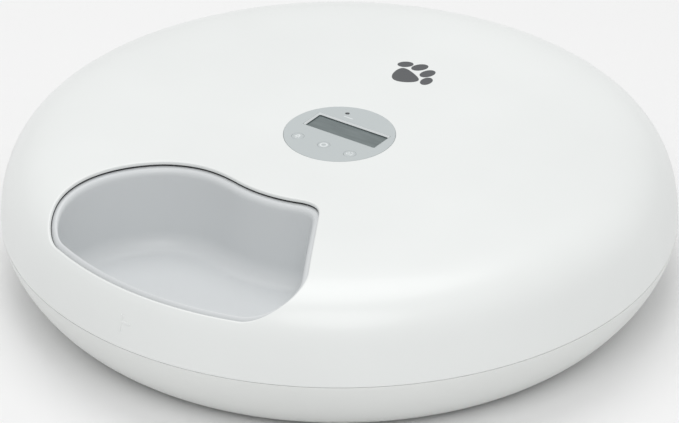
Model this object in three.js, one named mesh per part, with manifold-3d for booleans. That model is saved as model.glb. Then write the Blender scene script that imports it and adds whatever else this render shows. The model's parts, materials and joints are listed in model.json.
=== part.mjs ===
// Automatic pet feeder: a low round body with a lift-off lid, a turning tray of five food pockets,
// a fixed hub with a round control panel, and a motor drive and battery bay below the tray.
// Units are millimetres. +Z is up, -Y is the front. The origin is the middle of the resting plane.
// An azimuth is measured from the front (-Y), positive towards +X.

import * as THREE from 'three';
import { mergeVertices } from 'three/addons/utils/BufferGeometryUtils.js';
import Module from 'manifold-3d';

const wasm = await Module();
wasm.setup();

// ---------------------------------------------------------------- driving dimensions

const bodyRadius = 190;
const bodyHeight = 90;
const partingZ = 41;
const footRadius = 157.3;
const domeRadialPower = 11.6;
const domeHeightPower = 2.17;
const bowlPower = 1.445;
const flatShare = 0.66;
const fineSteps = 600;

const gap = 0.3;
const partingGap = 0.4;
const segments = 48;

const lidWall = 2.4;
const lidClearance = 1.0;
const lugWidth = 12;
const lugHeight = 4;
const lugClearance = 1.0;
const markRadius = 1.6;
const markAzimuth = -3;
const markHeight = 6;
const markRise = 0.5;
const markAboveParting = 14;

const baseWall = 3;
const groundClearance = 1.6;
const rimWall = 2.6;
const rimHeight = 5;
const rimClearance = 0.6;
const ledgeWidth = 6;

const footPadRadius = 10;
const footPadRing = 140;
const footRecess = 1;
const footChamfer = 0.8;

const deckWall = 2.8;
const deckRibRadius = 135;
const deckRibWidth = 4;
const deckPostRing = 155;
const deckPostRadius = 4;

const hubWall = 2.4;
const hubFloorZ = 22;
const hubFloorWall = 2.7;
const hubMouthRadius = 29;
const hubBoreRadius = 16;
const pedestalInner = 22;
const pedestalOuter = 32;
const hubScrewRing = 27;
const screwHoleDepth = 10;

const gearModule = 2;
const ringTeeth = 60;
const pinionTeeth = 12;
const gearFloorZ = 8;
const gearHeight = 9;
const ringClearance = 1.5;
const ringWall = 7;
const ringDrop = 2;
const guidePlay = 1;
const guideWall = 2;
const deckPlay = 2;
const supportOffset = 3;
const supportWall = 2;
const keyWidth = 6;
const keyDepth = 3;
const keyPlay = 0.5;
const keyHeadroom = 0.6;
const pinionNeckRadius = 6;
const shaftRadius = 2;
const shaftReach = 3;
const socketDepth = 4;
const toothPlay = 0.25;
const drivePlay = 0.5;
const driveAzimuth = 180;

const gearboxRadius = 11.8;
const gearboxHeight = 22;
const motorRadius = 10;
const motorHeight = 24;
const motorBossRadius = 3;
const motorBossHeight = 1.5;
const earOffset = 4.7;
const earRadius = 3.6;
const earThickness = 2.2;

const pocketCount = 5;
const trayWall = 2;
const collarWall = 2.4;
const seatHeight = 2.6;
const trayRimZ = 54;
const trayLift = 2.2;
const pocketLip = 2.6;
const pocketDraft = 0.08;
const pocketFillet = 11;
const pocketPoints = 32;

const openingOuter = 182;
const openingInner = 76.5;
const openingOuterArc = [-22.6, 18];
const openingInnerArc = [18, -13];
const openingCentre = new THREE.Vector2(-8, -126);

const magnetRadius = 2;
const magnetHeight = 2.2;
const magnetRing = 66;
const sensorWidth = 4;
const sensorDepth = 3.2;

const panelRadius = 31.3;
const panelThickness = 3.4;
const panelChamfer = 0.4;
const panelPlugDepth = 1.2;
const panelFit = 0.5;
const windowCentre = new THREE.Vector2(0.7, 5.95);
const windowSize = new THREE.Vector2(48, 15.9);
const windowSink = 1.6;
const windowCorner = 1.2;
const windowThickness = 1.4;
const windowLedge = 1.6;
const buttonY = -15.3;
const buttonPitch = 17.6;
const buttonRadius = 3.5;
const buttonFlange = 1;
const buttonFlangeHeight = 0.8;
const buttonPlay = 0.35;
const buttonChamfer = 0.3;
const buttonTravel = 0.8;
const lensCentre = new THREE.Vector2(-9.8, 21.8);
const lensRadius = 1.1;

const boardRadius = 27;
const boardThickness = 1.6;
const boardDepth = 9.8;
const boardPostRing = 24;
const boardPostRadius = 1.8;
const displayThickness = 2.4;
const switchSize = 6;
const switchHeight = 2.4;
const plungerRadius = 1.6;
const sounderRadius = 6;
const sounderHeight = 5;
const sounderMouthRadius = 1.2;
const sounderMouthDepth = 1;

const cellRadius = 12.8;
const cellLength = 48.5;
const cellNub = 1.5;
const cellNubRadius = 3;
const cellChamfer = 1;
const cellSpacing = 0.8;
const cellHeadroom = 1.7;
const cellCount = 4;
const bayCentreY = 112;
const bayPlay = 2;
const bayWall = 6;
const contactThickness = 0.6;
const contactHeight = 18;
const contactInset = 2;
const doorThickness = 2.2;
const doorOverlap = 1.5;
const doorTravel = 7;
const doorTongue = 1.2;
const doorPlay = 0.4;
const gripCount = 3;
const gripPitch = 4;
const gripInset = 8;
const gripLength = 24;
const gripWidth = 1.6;
const gripDepth = 0.6;

const screwRadius = 1.4;
const screwHeadRadius = 2.7;
const screwHeadHeight = 1.3;
const screwTip = 1;
const crossLength = 3.2;
const crossWidth = 0.6;
const crossDepth = 0.7;
const longScrew = 8;
const shortScrew = 5;

// ---------------------------------------------------------------- materials

function plastic(colour, roughness) {
  return new THREE.MeshStandardMaterial({ color: colour, roughness, metalness: 0 });
}

function metal(colour, roughness) {
  return new THREE.MeshStandardMaterial({ color: colour, roughness, metalness: 1 });
}

const shellWhite = () => plastic(0xeef0ef, 0.35);
const trayGrey = () => plastic(0xcfd4d4, 0.4);
const panelGrey = () => plastic(0xc4cbcc, 0.4);
const innerGrey = () => plastic(0x9aa0a2, 0.55);
const gearWhite = () => plastic(0xe4e0d4, 0.45);
const rubberBlack = () => plastic(0x26282a, 0.85);
const screwSteel = () => metal(0xb8bcc0, 0.35);
const steel = () => metal(0xa8adb1, 0.4);

// ---------------------------------------------------------------- solids

// A closed mesh with shared vertices, no collapsed triangles, and its faces pointing out.
function closed(geometry) {
  const bare = geometry.clone();
  bare.deleteAttribute('normal');
  bare.deleteAttribute('uv');
  const welded = mergeVertices(bare, 1e-3);
  const position = welded.getAttribute('position');
  const source = welded.getIndex().array;
  const triangles = [];
  let volume = 0;
  const a = new THREE.Vector3();
  const b = new THREE.Vector3();
  const c = new THREE.Vector3();
  for (let i = 0; i < source.length; i += 3) {
    const [p, q, r] = [source[i], source[i + 1], source[i + 2]];
    if (p === q || q === r || r === p) continue;
    a.fromBufferAttribute(position, p);
    b.fromBufferAttribute(position, q);
    c.fromBufferAttribute(position, r);
    volume += a.dot(b.cross(c));
    triangles.push([p, q, r]);
  }
  const outward = triangles.map(([p, q, r]) => (volume < 0 ? [p, r, q] : [p, q, r]));
  welded.setIndex(outward.flat());
  return welded;
}

function solid(geometry) {
  const mesh = closed(geometry);
  return new wasm.Manifold(new wasm.Mesh({
    numProp: 3,
    vertProperties: new Float32Array(mesh.getAttribute('position').array),
    triVerts: new Uint32Array(mesh.getIndex().array),
  }));
}

function geometryOf(manifold) {
  const mesh = manifold.getMesh();
  const geometry = new THREE.BufferGeometry();
  geometry.setAttribute('position', new THREE.BufferAttribute(mesh.vertProperties, 3));
  geometry.setIndex(new THREE.BufferAttribute(mesh.triVerts, 1));
  return geometry;
}

function join(...manifolds) {
  return manifolds.reduce((whole, next) => whole.add(next));
}

function cut(manifold, ...tools) {
  return tools.reduce((whole, tool) => whole.subtract(tool), manifold);
}

// A profile of [radius, height] points turned about +Z.
function turned(profile, count = segments) {
  const points = profile.map(([r, z]) => new THREE.Vector2(r, z));
  points.push(points[0].clone());
  return new THREE.LatheGeometry(points, count).rotateX(Math.PI / 2);
}

// A full cylinder, or a tube when an inner radius is given, between two heights.
function drum(radius, lowZ, highZ, count = 24, inner = 0) {
  return turned([[inner, lowZ], [radius, lowZ], [radius, highZ], [inner, highZ]], count);
}

function drumAt(x, y, radius, lowZ, highZ, count = 16) {
  return drum(radius, lowZ, highZ, count).translate(x, y, 0);
}

function block(x0, x1, y0, y1, z0, z1) {
  const box = new THREE.BoxGeometry(x1 - x0, y1 - y0, z1 - z0);
  return box.translate((x0 + x1) / 2, (y0 + y1) / 2, (z0 + z1) / 2);
}

function extruded(shape, lowZ, highZ, curveSegments = 4) {
  const options = { depth: highZ - lowZ, bevelEnabled: false, curveSegments };
  return new THREE.ExtrudeGeometry(shape, options).translate(0, 0, lowZ);
}

function roundedRectangle(width, depth, corner, centre) {
  const x = centre.x - width / 2;
  const y = centre.y - depth / 2;
  const shape = new THREE.Shape();
  shape.absarc(x + corner, y + corner, corner, Math.PI, 1.5 * Math.PI);
  shape.absarc(x + width - corner, y + corner, corner, 1.5 * Math.PI, 2 * Math.PI);
  shape.absarc(x + width - corner, y + depth - corner, corner, 0, 0.5 * Math.PI);
  shape.absarc(x + corner, y + depth - corner, corner, 0.5 * Math.PI, Math.PI);
  return shape;
}

// Rings of equal point counts, each flat at its own height, closed by a fan about a centre.
function lofted(rings, centre) {
  const count = rings[0].points.length;
  const vertices = [];
  const triangles = [];
  for (const ring of rings) {
    for (const point of ring.points) vertices.push(point.x, point.y, ring.z);
  }
  for (let k = 0; k + 1 < rings.length; k += 1) {
    for (let i = 0; i < count; i += 1) {
      const here = k * count + i;
      const next = k * count + (i + 1) % count;
      triangles.push(here, next, next + count, here, next + count, here + count);
    }
  }
  const last = rings.length - 1;
  const bottom = vertices.length / 3;
  vertices.push(centre.x, centre.y, rings[0].z, centre.x, centre.y, rings[last].z);
  for (let i = 0; i < count; i += 1) {
    const j = (i + 1) % count;
    triangles.push(bottom, j, i, bottom + 1, last * count + i, last * count + j);
  }
  const geometry = new THREE.BufferGeometry();
  geometry.setAttribute('position', new THREE.Float32BufferAttribute(vertices, 3));
  geometry.setIndex(triangles);
  return geometry;
}

function turnAbout(geometry, azimuth) {
  return geometry.clone().rotateZ(THREE.MathUtils.degToRad(azimuth));
}

function polar(azimuth, radius) {
  const angle = THREE.MathUtils.degToRad(azimuth);
  return new THREE.Vector2(radius * Math.sin(angle), -radius * Math.cos(angle));
}

// Points on a circle about the middle, as [x, y].
function ringPlaces(azimuths, radius) {
  return azimuths.map((azimuth) => polar(azimuth, radius).toArray());
}

// ---------------------------------------------------------------- body curves

// Points of a curve at even steps of its length.
function evenly(points, count) {
  const lengths = [0];
  for (let i = 1; i < points.length; i += 1) {
    lengths.push(lengths[i - 1] + points[i].distanceTo(points[i - 1]));
  }
  const total = lengths[lengths.length - 1];
  const picked = [];
  let k = 1;
  for (let i = 0; i < count; i += 1) {
    const target = (total * i) / (count - 1);
    while (k < points.length - 1 && lengths[k] < target) k += 1;
    const share = (target - lengths[k - 1]) / (lengths[k] - lengths[k - 1]);
    picked.push(points[k - 1].clone().lerp(points[k], share));
  }
  return picked;
}

// A curve moved by its own normal, towards the inside of the body.
function inset(points, distance) {
  return points.map((point, i) => {
    const before = points[Math.max(i - 1, 0)];
    const after = points[Math.min(i + 1, points.length - 1)];
    const tangent = after.clone().sub(before).normalize();
    return point.clone().add(new THREE.Vector2(-tangent.y, tangent.x).multiplyScalar(distance));
  });
}

// The upper surface from the parting line to the middle: a very flat top with a rounded rim.
const domeCurve = Array.from({ length: fineSteps + 1 }, (_, i) => {
  const t = (0.5 * Math.PI * i) / fineSteps;
  const r = bodyRadius * Math.cos(t) ** (2 / domeRadialPower);
  const z = partingZ + (bodyHeight - partingZ) * Math.sin(t) ** (2 / domeHeightPower);
  return new THREE.Vector2(i === fineSteps ? 0 : r, z);
});

// The lower surface from the parting line down to the foot circle.
const bowlCurve = Array.from({ length: fineSteps + 1 }, (_, i) => {
  const t = (0.5 * Math.PI * i) / fineSteps;
  const r = footRadius + (bodyRadius - footRadius) * Math.cos(t) ** (2 / bowlPower);
  const z = partingZ - partingZ * Math.sin(t) ** (2 / bowlPower);
  return new THREE.Vector2(r, z);
});

// Where a curve crosses a given height.
function radiusAt(curve, z) {
  for (let i = 1; i < curve.length; i += 1) {
    const [a, b] = [curve[i - 1], curve[i]];
    if ((a.y - z) * (b.y - z) <= 0 && a.y !== b.y) {
      return a.x + ((b.x - a.x) * (z - a.y)) / (b.y - a.y);
    }
  }
  return curve[0].x;
}

// Where a curve crosses a given radius.
function heightAt(curve, r) {
  const flipped = curve.map((point) => new THREE.Vector2(point.y, point.x));
  return radiusAt(flipped, r);
}

// The dome at a depth below its surface, from a low height in to an inner radius: even steps
// round the rim, then one straight step over the flat top.
function domeProfile(depth, lowZ, innerRadius, count) {
  const curve = depth > 0 ? inset(domeCurve, depth) : domeCurve;
  const start = new THREE.Vector2(radiusAt(curve, lowZ), lowZ);
  const rim = curve.filter((point) => point.y > lowZ && point.x > flatShare * bodyRadius);
  const profile = evenly([start, ...rim], count).map((point) => [point.x, point.y]);
  return [...profile, [innerRadius, bodyHeight - depth]];
}

// ---------------------------------------------------------------- lid opening outline

// One rounded wedge: two arcs about the hub, a straight right side, and a full left side
// that leaves the inner arc along its tangent and swells outwards.
function openingShape() {
  const start = polar(openingOuterArc[0], openingOuter);
  const outerEnd = polar(openingOuterArc[1], openingOuter);
  const innerEnd = polar(openingInnerArc[1], openingInner);
  const rad = THREE.MathUtils.degToRad;
  const shape = new THREE.Shape();
  shape.moveTo(start.x, start.y);
  shape.absarc(0, 0, openingOuter, rad(openingOuterArc[0] - 90), rad(openingOuterArc[1] - 90), false);
  shape.lineTo(outerEnd.x, outerEnd.y);
  shape.bezierCurveTo(72, -167, 80.5, -150, 72.1, -132.4);
  shape.lineTo(42.5, -80.5);
  shape.bezierCurveTo(38.5, -73.5, 33.5, -69.6, 24.2, -72.6);
  shape.absarc(0, 0, openingInner, rad(openingInnerArc[0] - 90), rad(openingInnerArc[1] - 90), true);
  shape.lineTo(innerEnd.x, innerEnd.y);
  shape.bezierCurveTo(-32, -71.2, -45, -70.8, -60.7, -80.5);
  shape.bezierCurveTo(-78, -93, -90.5, -114, -90.5, -136.1);
  shape.bezierCurveTo(-90.3, -149, -83.5, -163.5, start.x, start.y);
  return shape;
}

function distanceToOutline(point, outline) {
  let nearest = Infinity;
  for (let i = 0; i < outline.length; i += 1) {
    const a = outline[i];
    const edge = outline[(i + 1) % outline.length].clone().sub(a);
    const along = point.clone().sub(a).dot(edge) / Math.max(edge.lengthSq(), 1e-9);
    const foot = a.clone().addScaledVector(edge, THREE.MathUtils.clamp(along, 0, 1));
    nearest = Math.min(nearest, foot.distanceTo(point));
  }
  return nearest;
}

function isInside(point, outline) {
  let inside = false;
  for (let i = 0, j = outline.length - 1; i < outline.length; j = i, i += 1) {
    const [a, b] = [outline[i], outline[j]];
    const crosses = (a.y > point.y) !== (b.y > point.y);
    if (crosses && point.x < ((b.x - a.x) * (point.y - a.y)) / (b.y - a.y) + a.x) inside = !inside;
  }
  return inside;
}

// The opening outline drawn in by a margin, as points at even angles about its centre.
function insetRing(outline, margin) {
  const ring = [];
  for (let i = 0; i < pocketPoints; i += 1) {
    const angle = (2 * Math.PI * i) / pocketPoints;
    const ray = new THREE.Vector2(Math.cos(angle), Math.sin(angle));
    let near = 0;
    let far = bodyRadius;
    for (let step = 0; step < 24; step += 1) {
      const middle = (near + far) / 2;
      const point = openingCentre.clone().addScaledVector(ray, middle);
      const clear = isInside(point, outline) && distanceToOutline(point, outline) >= margin;
      if (clear) near = middle;
      else far = middle;
    }
    ring.push(openingCentre.clone().addScaledVector(ray, near));
  }
  return ring;
}

// ---------------------------------------------------------------- worked-out places

const ringPitchRadius = (gearModule * ringTeeth) / 2;
const pinionPitchRadius = (gearModule * pinionTeeth) / 2;
const pinionPlace = polar(driveAzimuth, ringPitchRadius - pinionPitchRadius);
const hubRadius = pinionPlace.length() + gearboxRadius + gap + hubWall;

const recessTopZ = groundClearance + doorThickness + 2 * gap;
const cellPitch = 2 * cellRadius + cellSpacing;
const cellZ = recessTopZ + gap + cellRadius;
const deckUnderZ = cellZ + cellRadius + cellHeadroom;
const deckTopZ = deckUnderZ + deckWall;
const trayBottomZ = deckTopZ + trayLift;
const pocketFloorZ = trayBottomZ + trayWall;

const lidUnderZ = bodyHeight - lidWall;
const trayTopDepth = lidWall + lidClearance;
const lidInnerCurve = inset(domeCurve, lidWall);
const rimOuterRadius = radiusAt(lidInnerCurve, partingZ + rimHeight) - rimClearance;
const rimInnerRadius = rimOuterRadius - rimWall;
const floorTopZ = groundClearance + baseWall;
const deckRadius = rimInnerRadius - 2 * gap;

const collarInner = hubRadius + ringClearance;
const ringOuterRadius = collarInner + ringWall;
const ringTopZ = deckTopZ - ringDrop;
const seatZ = ringTopZ + gap;
const guideInner = ringOuterRadius + guidePlay;
const deckBore = ringOuterRadius + deckPlay;
const supportInner = magnetRing + supportOffset;

const hubTopZ = lidUnderZ - lidClearance - gap;
const panelUnderZ = bodyHeight - panelThickness;
const plugUnderZ = panelUnderZ - panelPlugDepth;
const windowTopZ = bodyHeight - windowSink;
const boardTopZ = bodyHeight - boardDepth;
const buttonPlaces = [-1, 0, 1].map((step) => step * buttonPitch);

const bayHalfWidth = (cellPitch * cellCount) / 2 + 1;
const bayHalfLength = (cellLength + cellNub) / 2 + bayPlay;
const bayFrontY = bayCentreY - bayHalfLength;
const bayRearY = bayCentreY + bayHalfLength;
const doorFrontY = bayFrontY - doorOverlap;
const doorRearY = bayRearY + doorOverlap;
const doorHalfWidth = bayHalfWidth + doorOverlap;

const quarterAngles = [45, 135, 225, 315];

// ---------------------------------------------------------------- lid

function lidShell() {
  const lowZ = partingZ + partingGap / 2;
  const boreRadius = panelRadius + panelFit;
  const outer = domeProfile(0, lowZ, boreRadius, 11);
  const inner = domeProfile(lidWall, lowZ, boreRadius, 8).reverse();
  const shell = solid(turned([...outer, ...inner]));
  const opening = solid(extruded(openingShape(), partingZ, bodyHeight + 10, 8));
  const lugs = quarterAngles.map((azimuth) => solid(lidLug(azimuth)));
  return join(cut(shell, opening), ...lugs, solid(alignmentMark()));
}

// A lug inside the lid's edge that drops into a notch of the base rim.
function lidLug(azimuth) {
  const outer = -(radiusAt(lidInnerCurve, partingZ + lugHeight) + lidWall / 3);
  const lowZ = partingZ + partingGap / 2;
  const lug = block(-lugWidth / 2, lugWidth / 2, outer, -(rimInnerRadius + gap), lowZ, lowZ + lugHeight);
  return turnAbout(lug, azimuth);
}

// A small raised pill on the lid's front rim.
function alignmentMark() {
  const middleZ = partingZ + markAboveParting;
  const radius = radiusAt(domeCurve, middleZ) + markRise;
  const pill = new THREE.CapsuleGeometry(markRadius, markHeight, 3, 8).rotateX(Math.PI / 2);
  return turnAbout(pill.translate(0, -(radius - markRadius), middleZ), markAzimuth);
}

// ---------------------------------------------------------------- base

function baseShell() {
  const topZ = partingZ - partingGap / 2;
  const outer = evenly(
    [
      new THREE.Vector2(radiusAt(bowlCurve, topZ), topZ),
      ...bowlCurve.filter((point) => point.y < topZ && point.y > groundClearance),
      new THREE.Vector2(radiusAt(bowlCurve, groundClearance), groundClearance),
    ],
    7,
  ).map((point) => [point.x, point.y]);
  const ledgeRadius = rimInnerRadius - ledgeWidth;
  const ledgeZ = deckUnderZ - gap;
  const innerCurve = inset(bowlCurve, -baseWall);
  const ledgeFootZ = heightAt(innerCurve, ledgeRadius);
  const innerWall = evenly(
    [
      new THREE.Vector2(radiusAt(innerCurve, floorTopZ), floorTopZ),
      ...innerCurve.filter((point) => point.y > floorTopZ && point.y < ledgeFootZ).reverse(),
      new THREE.Vector2(ledgeRadius, ledgeFootZ),
    ],
    3,
  ).map((point) => [point.x, point.y]);
  const shell = solid(turned([
    [0, groundClearance],
    [0, floorTopZ],
    ...innerWall,
    [ledgeRadius, ledgeZ],
    [rimInnerRadius, ledgeZ],
    [rimInnerRadius, partingZ + rimHeight],
    [rimOuterRadius, partingZ + rimHeight],
    [rimOuterRadius, topZ],
    ...outer,
  ]));
  const notches = quarterAngles.map((azimuth) => solid(rimNotch(azimuth)));
  const recesses = footPlaces().map(([x, y]) => (
    solid(drumAt(x, y, footPadRadius + gap, 0, groundClearance + footRecess, 20))));
  const body = join(
    shell,
    solid(drum(pedestalOuter, floorTopZ - 1, hubFloorZ - gap, 32, pedestalInner)),
    solid(drum(supportInner + supportWall, floorTopZ - 1, gearFloorZ - gap, segments, supportInner)),
    solid(drum(guideInner + guideWall, floorTopZ - 1, gearFloorZ + gearHeight, segments, guideInner)),
    ...deckPosts(),
    solid(bayBlock()),
  );
  const screwHoles = hubScrewPlaces().map(([x, y]) => (
    solid(drumAt(x, y, screwRadius + gap, hubFloorZ - screwHoleDepth, hubFloorZ + 1, 12))));
  return cut(body, ...notches, ...recesses, ...screwHoles, ...bayCuts());
}

function rimNotch(azimuth) {
  const half = lugWidth / 2 + lugClearance;
  const notch = block(
    -half,
    half,
    -(rimOuterRadius + 2),
    -(rimInnerRadius - 2),
    partingZ - partingGap / 2,
    partingZ + rimHeight + 2,
  );
  return turnAbout(notch, azimuth);
}

function footPlaces() {
  return [[0, 0], ...ringPlaces(quarterAngles, footPadRing)];
}

function hubScrewPlaces() {
  return ringPlaces([0, 120, 240], hubScrewRing);
}

function deckPostPlaces() {
  return ringPlaces([0, 90, 270], deckPostRing);
}

function deckPosts() {
  return deckPostPlaces().map(([x, y]) => cut(
    solid(drumAt(x, y, deckPostRadius, floorTopZ - 1, deckUnderZ - gap, 16)),
    solid(drumAt(x, y, screwRadius + gap, deckUnderZ - screwHoleDepth, deckUnderZ + 1, 12)),
  ));
}

// The walls of the battery bay, joined to the base floor.
function bayBlock() {
  const halfWidth = bayHalfWidth + bayWall;
  return block(
    -halfWidth,
    halfWidth,
    bayFrontY - bayWall,
    bayRearY + doorOverlap + doorTravel + 2,
    groundClearance,
    deckUnderZ - gap,
  );
}

// The cells' space, the door's recess below it, and the grooves for the door's tongues.
function bayCuts() {
  const recessFront = doorFrontY - doorPlay;
  const recessRear = doorRearY + doorTravel + doorPlay;
  const half = doorHalfWidth + doorPlay;
  const grooveZ = recessTopZ - doorThickness / 2 - 2 * doorPlay;
  return [
    block(-bayHalfWidth, bayHalfWidth, bayFrontY, bayRearY, 0, deckUnderZ + 1),
    block(-half, half, recessFront, recessRear, 0, recessTopZ),
    block(-half - doorTongue, half + doorTongue, recessFront, recessRear, grooveZ, recessTopZ),
  ].map(solid);
}

function batteryDoor() {
  const lowZ = groundClearance + gap;
  const highZ = lowZ + doorThickness;
  const tongue = doorHalfWidth + doorTongue;
  const plate = join(
    solid(block(-doorHalfWidth, doorHalfWidth, doorFrontY, doorRearY, lowZ, highZ)),
    solid(block(-tongue, tongue, doorFrontY, doorRearY, highZ - doorThickness / 2, highZ)),
  );
  const grips = Array.from({ length: gripCount }, (_, i) => {
    const y = doorRearY - gripInset - i * gripPitch;
    return solid(block(-gripLength / 2, gripLength / 2, y, y + gripWidth, lowZ - 1, lowZ + gripDepth));
  });
  return cut(plate, ...grips);
}

function rubberFoot() {
  const topZ = groundClearance + footRecess - gap;
  return solid(turned([
    [0, 0],
    [footPadRadius - footChamfer, 0],
    [footPadRadius, footChamfer],
    [footPadRadius, topZ],
    [0, topZ],
  ], 20));
}

// ---------------------------------------------------------------- deck and hub

function deckPlate() {
  const plate = solid(drum(deckRadius, deckUnderZ, deckTopZ, segments, deckBore));
  const ribInner = deckRibRadius - deckRibWidth / 2;
  const ribOuter = deckRibRadius + deckRibWidth / 2;
  const ribTop = trayBottomZ - gap;
  const rib = solid(drum(ribOuter, deckTopZ - 1, ribTop, segments, ribInner));
  const holes = deckPostPlaces().flatMap(([x, y]) => [
    solid(drumAt(x, y, screwRadius + gap, deckUnderZ - 1, deckTopZ + 1, 12)),
    solid(drumAt(x, y, screwHeadRadius + gap, deckTopZ - screwHeadHeight - gap, deckTopZ + 1, 16)),
  ]);
  return cut(join(plate, rib), ...holes);
}

// A screw standing on +Z with the top of its head at a given height.
function screw(headTopZ, length) {
  const headLow = headTopZ - screwHeadHeight;
  const body = solid(turned([
    [0, headLow - length],
    [screwRadius * 0.6, headLow - length],
    [screwRadius, headLow - length + screwTip],
    [screwRadius, headLow],
    [screwHeadRadius, headLow],
    [screwHeadRadius, headTopZ - screwHeadHeight / 4],
    [screwHeadRadius - screwHeadHeight / 3, headTopZ],
    [0, headTopZ],
  ], 8));
  const halfLength = crossLength / 2;
  const halfWide = crossWidth / 2;
  const crossLow = headTopZ - crossDepth;
  const cross = join(
    solid(block(-halfLength, halfLength, -halfWide, halfWide, crossLow, headTopZ + 1)),
    solid(block(-halfWide, halfWide, -halfLength, halfLength, crossLow, headTopZ + 1)),
  );
  return cut(body, cross);
}

function hubHousing() {
  const floorTop = hubFloorZ + hubFloorWall;
  const inner = hubRadius - hubWall;
  const shell = solid(turned([
    [hubBoreRadius, hubFloorZ],
    [hubRadius, hubFloorZ],
    [hubRadius, hubTopZ],
    [hubMouthRadius, hubTopZ],
    [hubMouthRadius, hubTopZ - hubWall],
    [inner, hubTopZ - hubWall],
    [inner, floorTop],
    [hubBoreRadius, floorTop],
  ]));
  const screwHoles = hubScrewPlaces().map(([x, y]) => (
    solid(drumAt(x, y, screwRadius + gap, hubFloorZ - 1, floorTop + 1, 12))));
  const earHoles = earPlaces().map(([x, y]) => (
    solid(drumAt(x, y, screwRadius + gap, hubFloorZ - 1, floorTop + 1, 12))));
  const shaftHole = solid(drumAt(
    pinionPlace.x, pinionPlace.y, shaftRadius + drivePlay, hubFloorZ - 1, floorTop + 1));
  return cut(shell, ...screwHoles, ...earHoles, shaftHole);
}

function earPlaces() {
  const side = polar(driveAzimuth + 90, gearboxRadius + earOffset);
  return [-1, 1].map((sign) => [pinionPlace.x + sign * side.x, pinionPlace.y + sign * side.y]);
}

function gearbox() {
  const lowZ = hubFloorZ + hubFloorWall + gap;
  const body = solid(drumAt(pinionPlace.x, pinionPlace.y, gearboxRadius, lowZ, lowZ + gearboxHeight, 24));
  const [[x0, y0], [x1, y1]] = earPlaces();
  const strap = solid(block(
    Math.min(x0, x1),
    Math.max(x0, x1),
    pinionPlace.y - earRadius,
    pinionPlace.y + earRadius,
    lowZ,
    lowZ + earThickness,
  ));
  const ears = earPlaces().map(([x, y]) => solid(drumAt(x, y, earRadius, lowZ, lowZ + earThickness, 16)));
  const holes = earPlaces().map(([x, y]) => (
    solid(drumAt(x, y, screwRadius + gap, lowZ - 1, lowZ + earThickness + 1, 12))));
  const socket = solid(drumAt(
    pinionPlace.x, pinionPlace.y, shaftRadius + drivePlay, lowZ - 1, lowZ + socketDepth));
  return cut(join(body, strap, ...ears), ...holes, socket);
}

function motorCan() {
  const lowZ = hubFloorZ + hubFloorWall + 2 * gap + gearboxHeight;
  const highZ = lowZ + motorHeight;
  const profile = [
    [0, lowZ],
    [motorRadius, lowZ],
    [motorRadius, highZ - 1],
    [motorRadius - 1, highZ],
    [motorBossRadius, highZ],
    [motorBossRadius, highZ + motorBossHeight],
    [0, highZ + motorBossHeight],
  ];
  return solid(turned(profile, 24).translate(pinionPlace.x, pinionPlace.y, 0));
}

// ---------------------------------------------------------------- drive

// Straight-sided teeth as an outline. A positive side points the teeth away from the axis.
function toothOutline(teeth, side, halfTurn) {
  const pitchRadius = (gearModule * teeth) / 2;
  const tip = pitchRadius + side * (gearModule - toothPlay);
  const root = pitchRadius - side * (gearModule * 1.25);
  const step = (2 * Math.PI) / teeth;
  const halfAtPitch = step / 4 - toothPlay / pitchRadius;
  const slope = (Math.tan(Math.PI / 9) * gearModule) / pitchRadius;
  const points = [];
  for (let i = 0; i < teeth; i += 1) {
    const middle = (i + halfTurn) * step;
    const tipHalf = halfAtPitch - slope;
    const rootHalf = halfAtPitch + slope;
    for (const [radius, half] of [[root, -rootHalf], [tip, -tipHalf], [tip, tipHalf], [root, rootHalf]]) {
      points.push(new THREE.Vector2(radius * Math.cos(middle + half), radius * Math.sin(middle + half)));
    }
  }
  return points;
}

function driveRing() {
  const teeth = new THREE.Shape();
  teeth.absarc(0, 0, ringOuterRadius, 0, 2 * Math.PI);
  teeth.holes.push(new THREE.Path(toothOutline(ringTeeth, -1, 0)));
  const gear = solid(extruded(teeth, gearFloorZ, gearFloorZ + gearHeight, segments / 4));
  const wall = solid(drum(ringOuterRadius, gearFloorZ + gearHeight - 1, ringTopZ, segments, collarInner));
  const keys = pocketAngles().map((azimuth) => solid(turnAbout(driveKey(0), azimuth)));
  const magnets = pocketAngles().map((azimuth) => {
    const place = polar(azimuth, magnetRing);
    const highZ = gearFloorZ + magnetHeight + 2 * gap;
    return solid(drumAt(place.x, place.y, magnetRadius + gap, gearFloorZ - 1, highZ, 12));
  });
  return cut(join(gear, wall, ...keys), ...magnets);
}

// A key on the ring's top edge, or the slot for it in the tray when it is made larger.
function driveKey(play) {
  const middle = (collarInner + ringOuterRadius) / 2;
  return block(
    -keyWidth / 2 - play,
    keyWidth / 2 + play,
    -middle - keyDepth / 2 - play,
    -middle + keyDepth / 2 + play,
    ringTopZ - gap,
    seatZ + seatHeight - keyHeadroom + play,
  );
}

function pocketAngles() {
  return Array.from({ length: pocketCount }, (_, i) => (360 * i) / pocketCount);
}

function indexMagnet(azimuth) {
  const place = polar(azimuth, magnetRing);
  const lowZ = gearFloorZ + gap;
  return solid(drumAt(place.x, place.y, magnetRadius, lowZ, lowZ + magnetHeight - gap, 12));
}

function indexSensor() {
  const half = sensorDepth / 2;
  return solid(block(
    -sensorWidth / 2,
    sensorWidth / 2,
    -magnetRing - half,
    -magnetRing + half,
    floorTopZ + gap,
    gearFloorZ - 2 * gap,
  ));
}

function drivePinion() {
  const outline = new THREE.Shape(toothOutline(pinionTeeth, 1, 0.5));
  const gear = solid(extruded(outline, gearFloorZ + gap, gearFloorZ + gearHeight, 4));
  const neck = solid(drum(pinionNeckRadius, gearFloorZ + gearHeight - 1, hubFloorZ - 2 * gap, 20));
  const bore = solid(drum(shaftRadius + gap, 0, hubFloorZ + 1, 16));
  return cut(join(gear, neck), bore);
}

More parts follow.
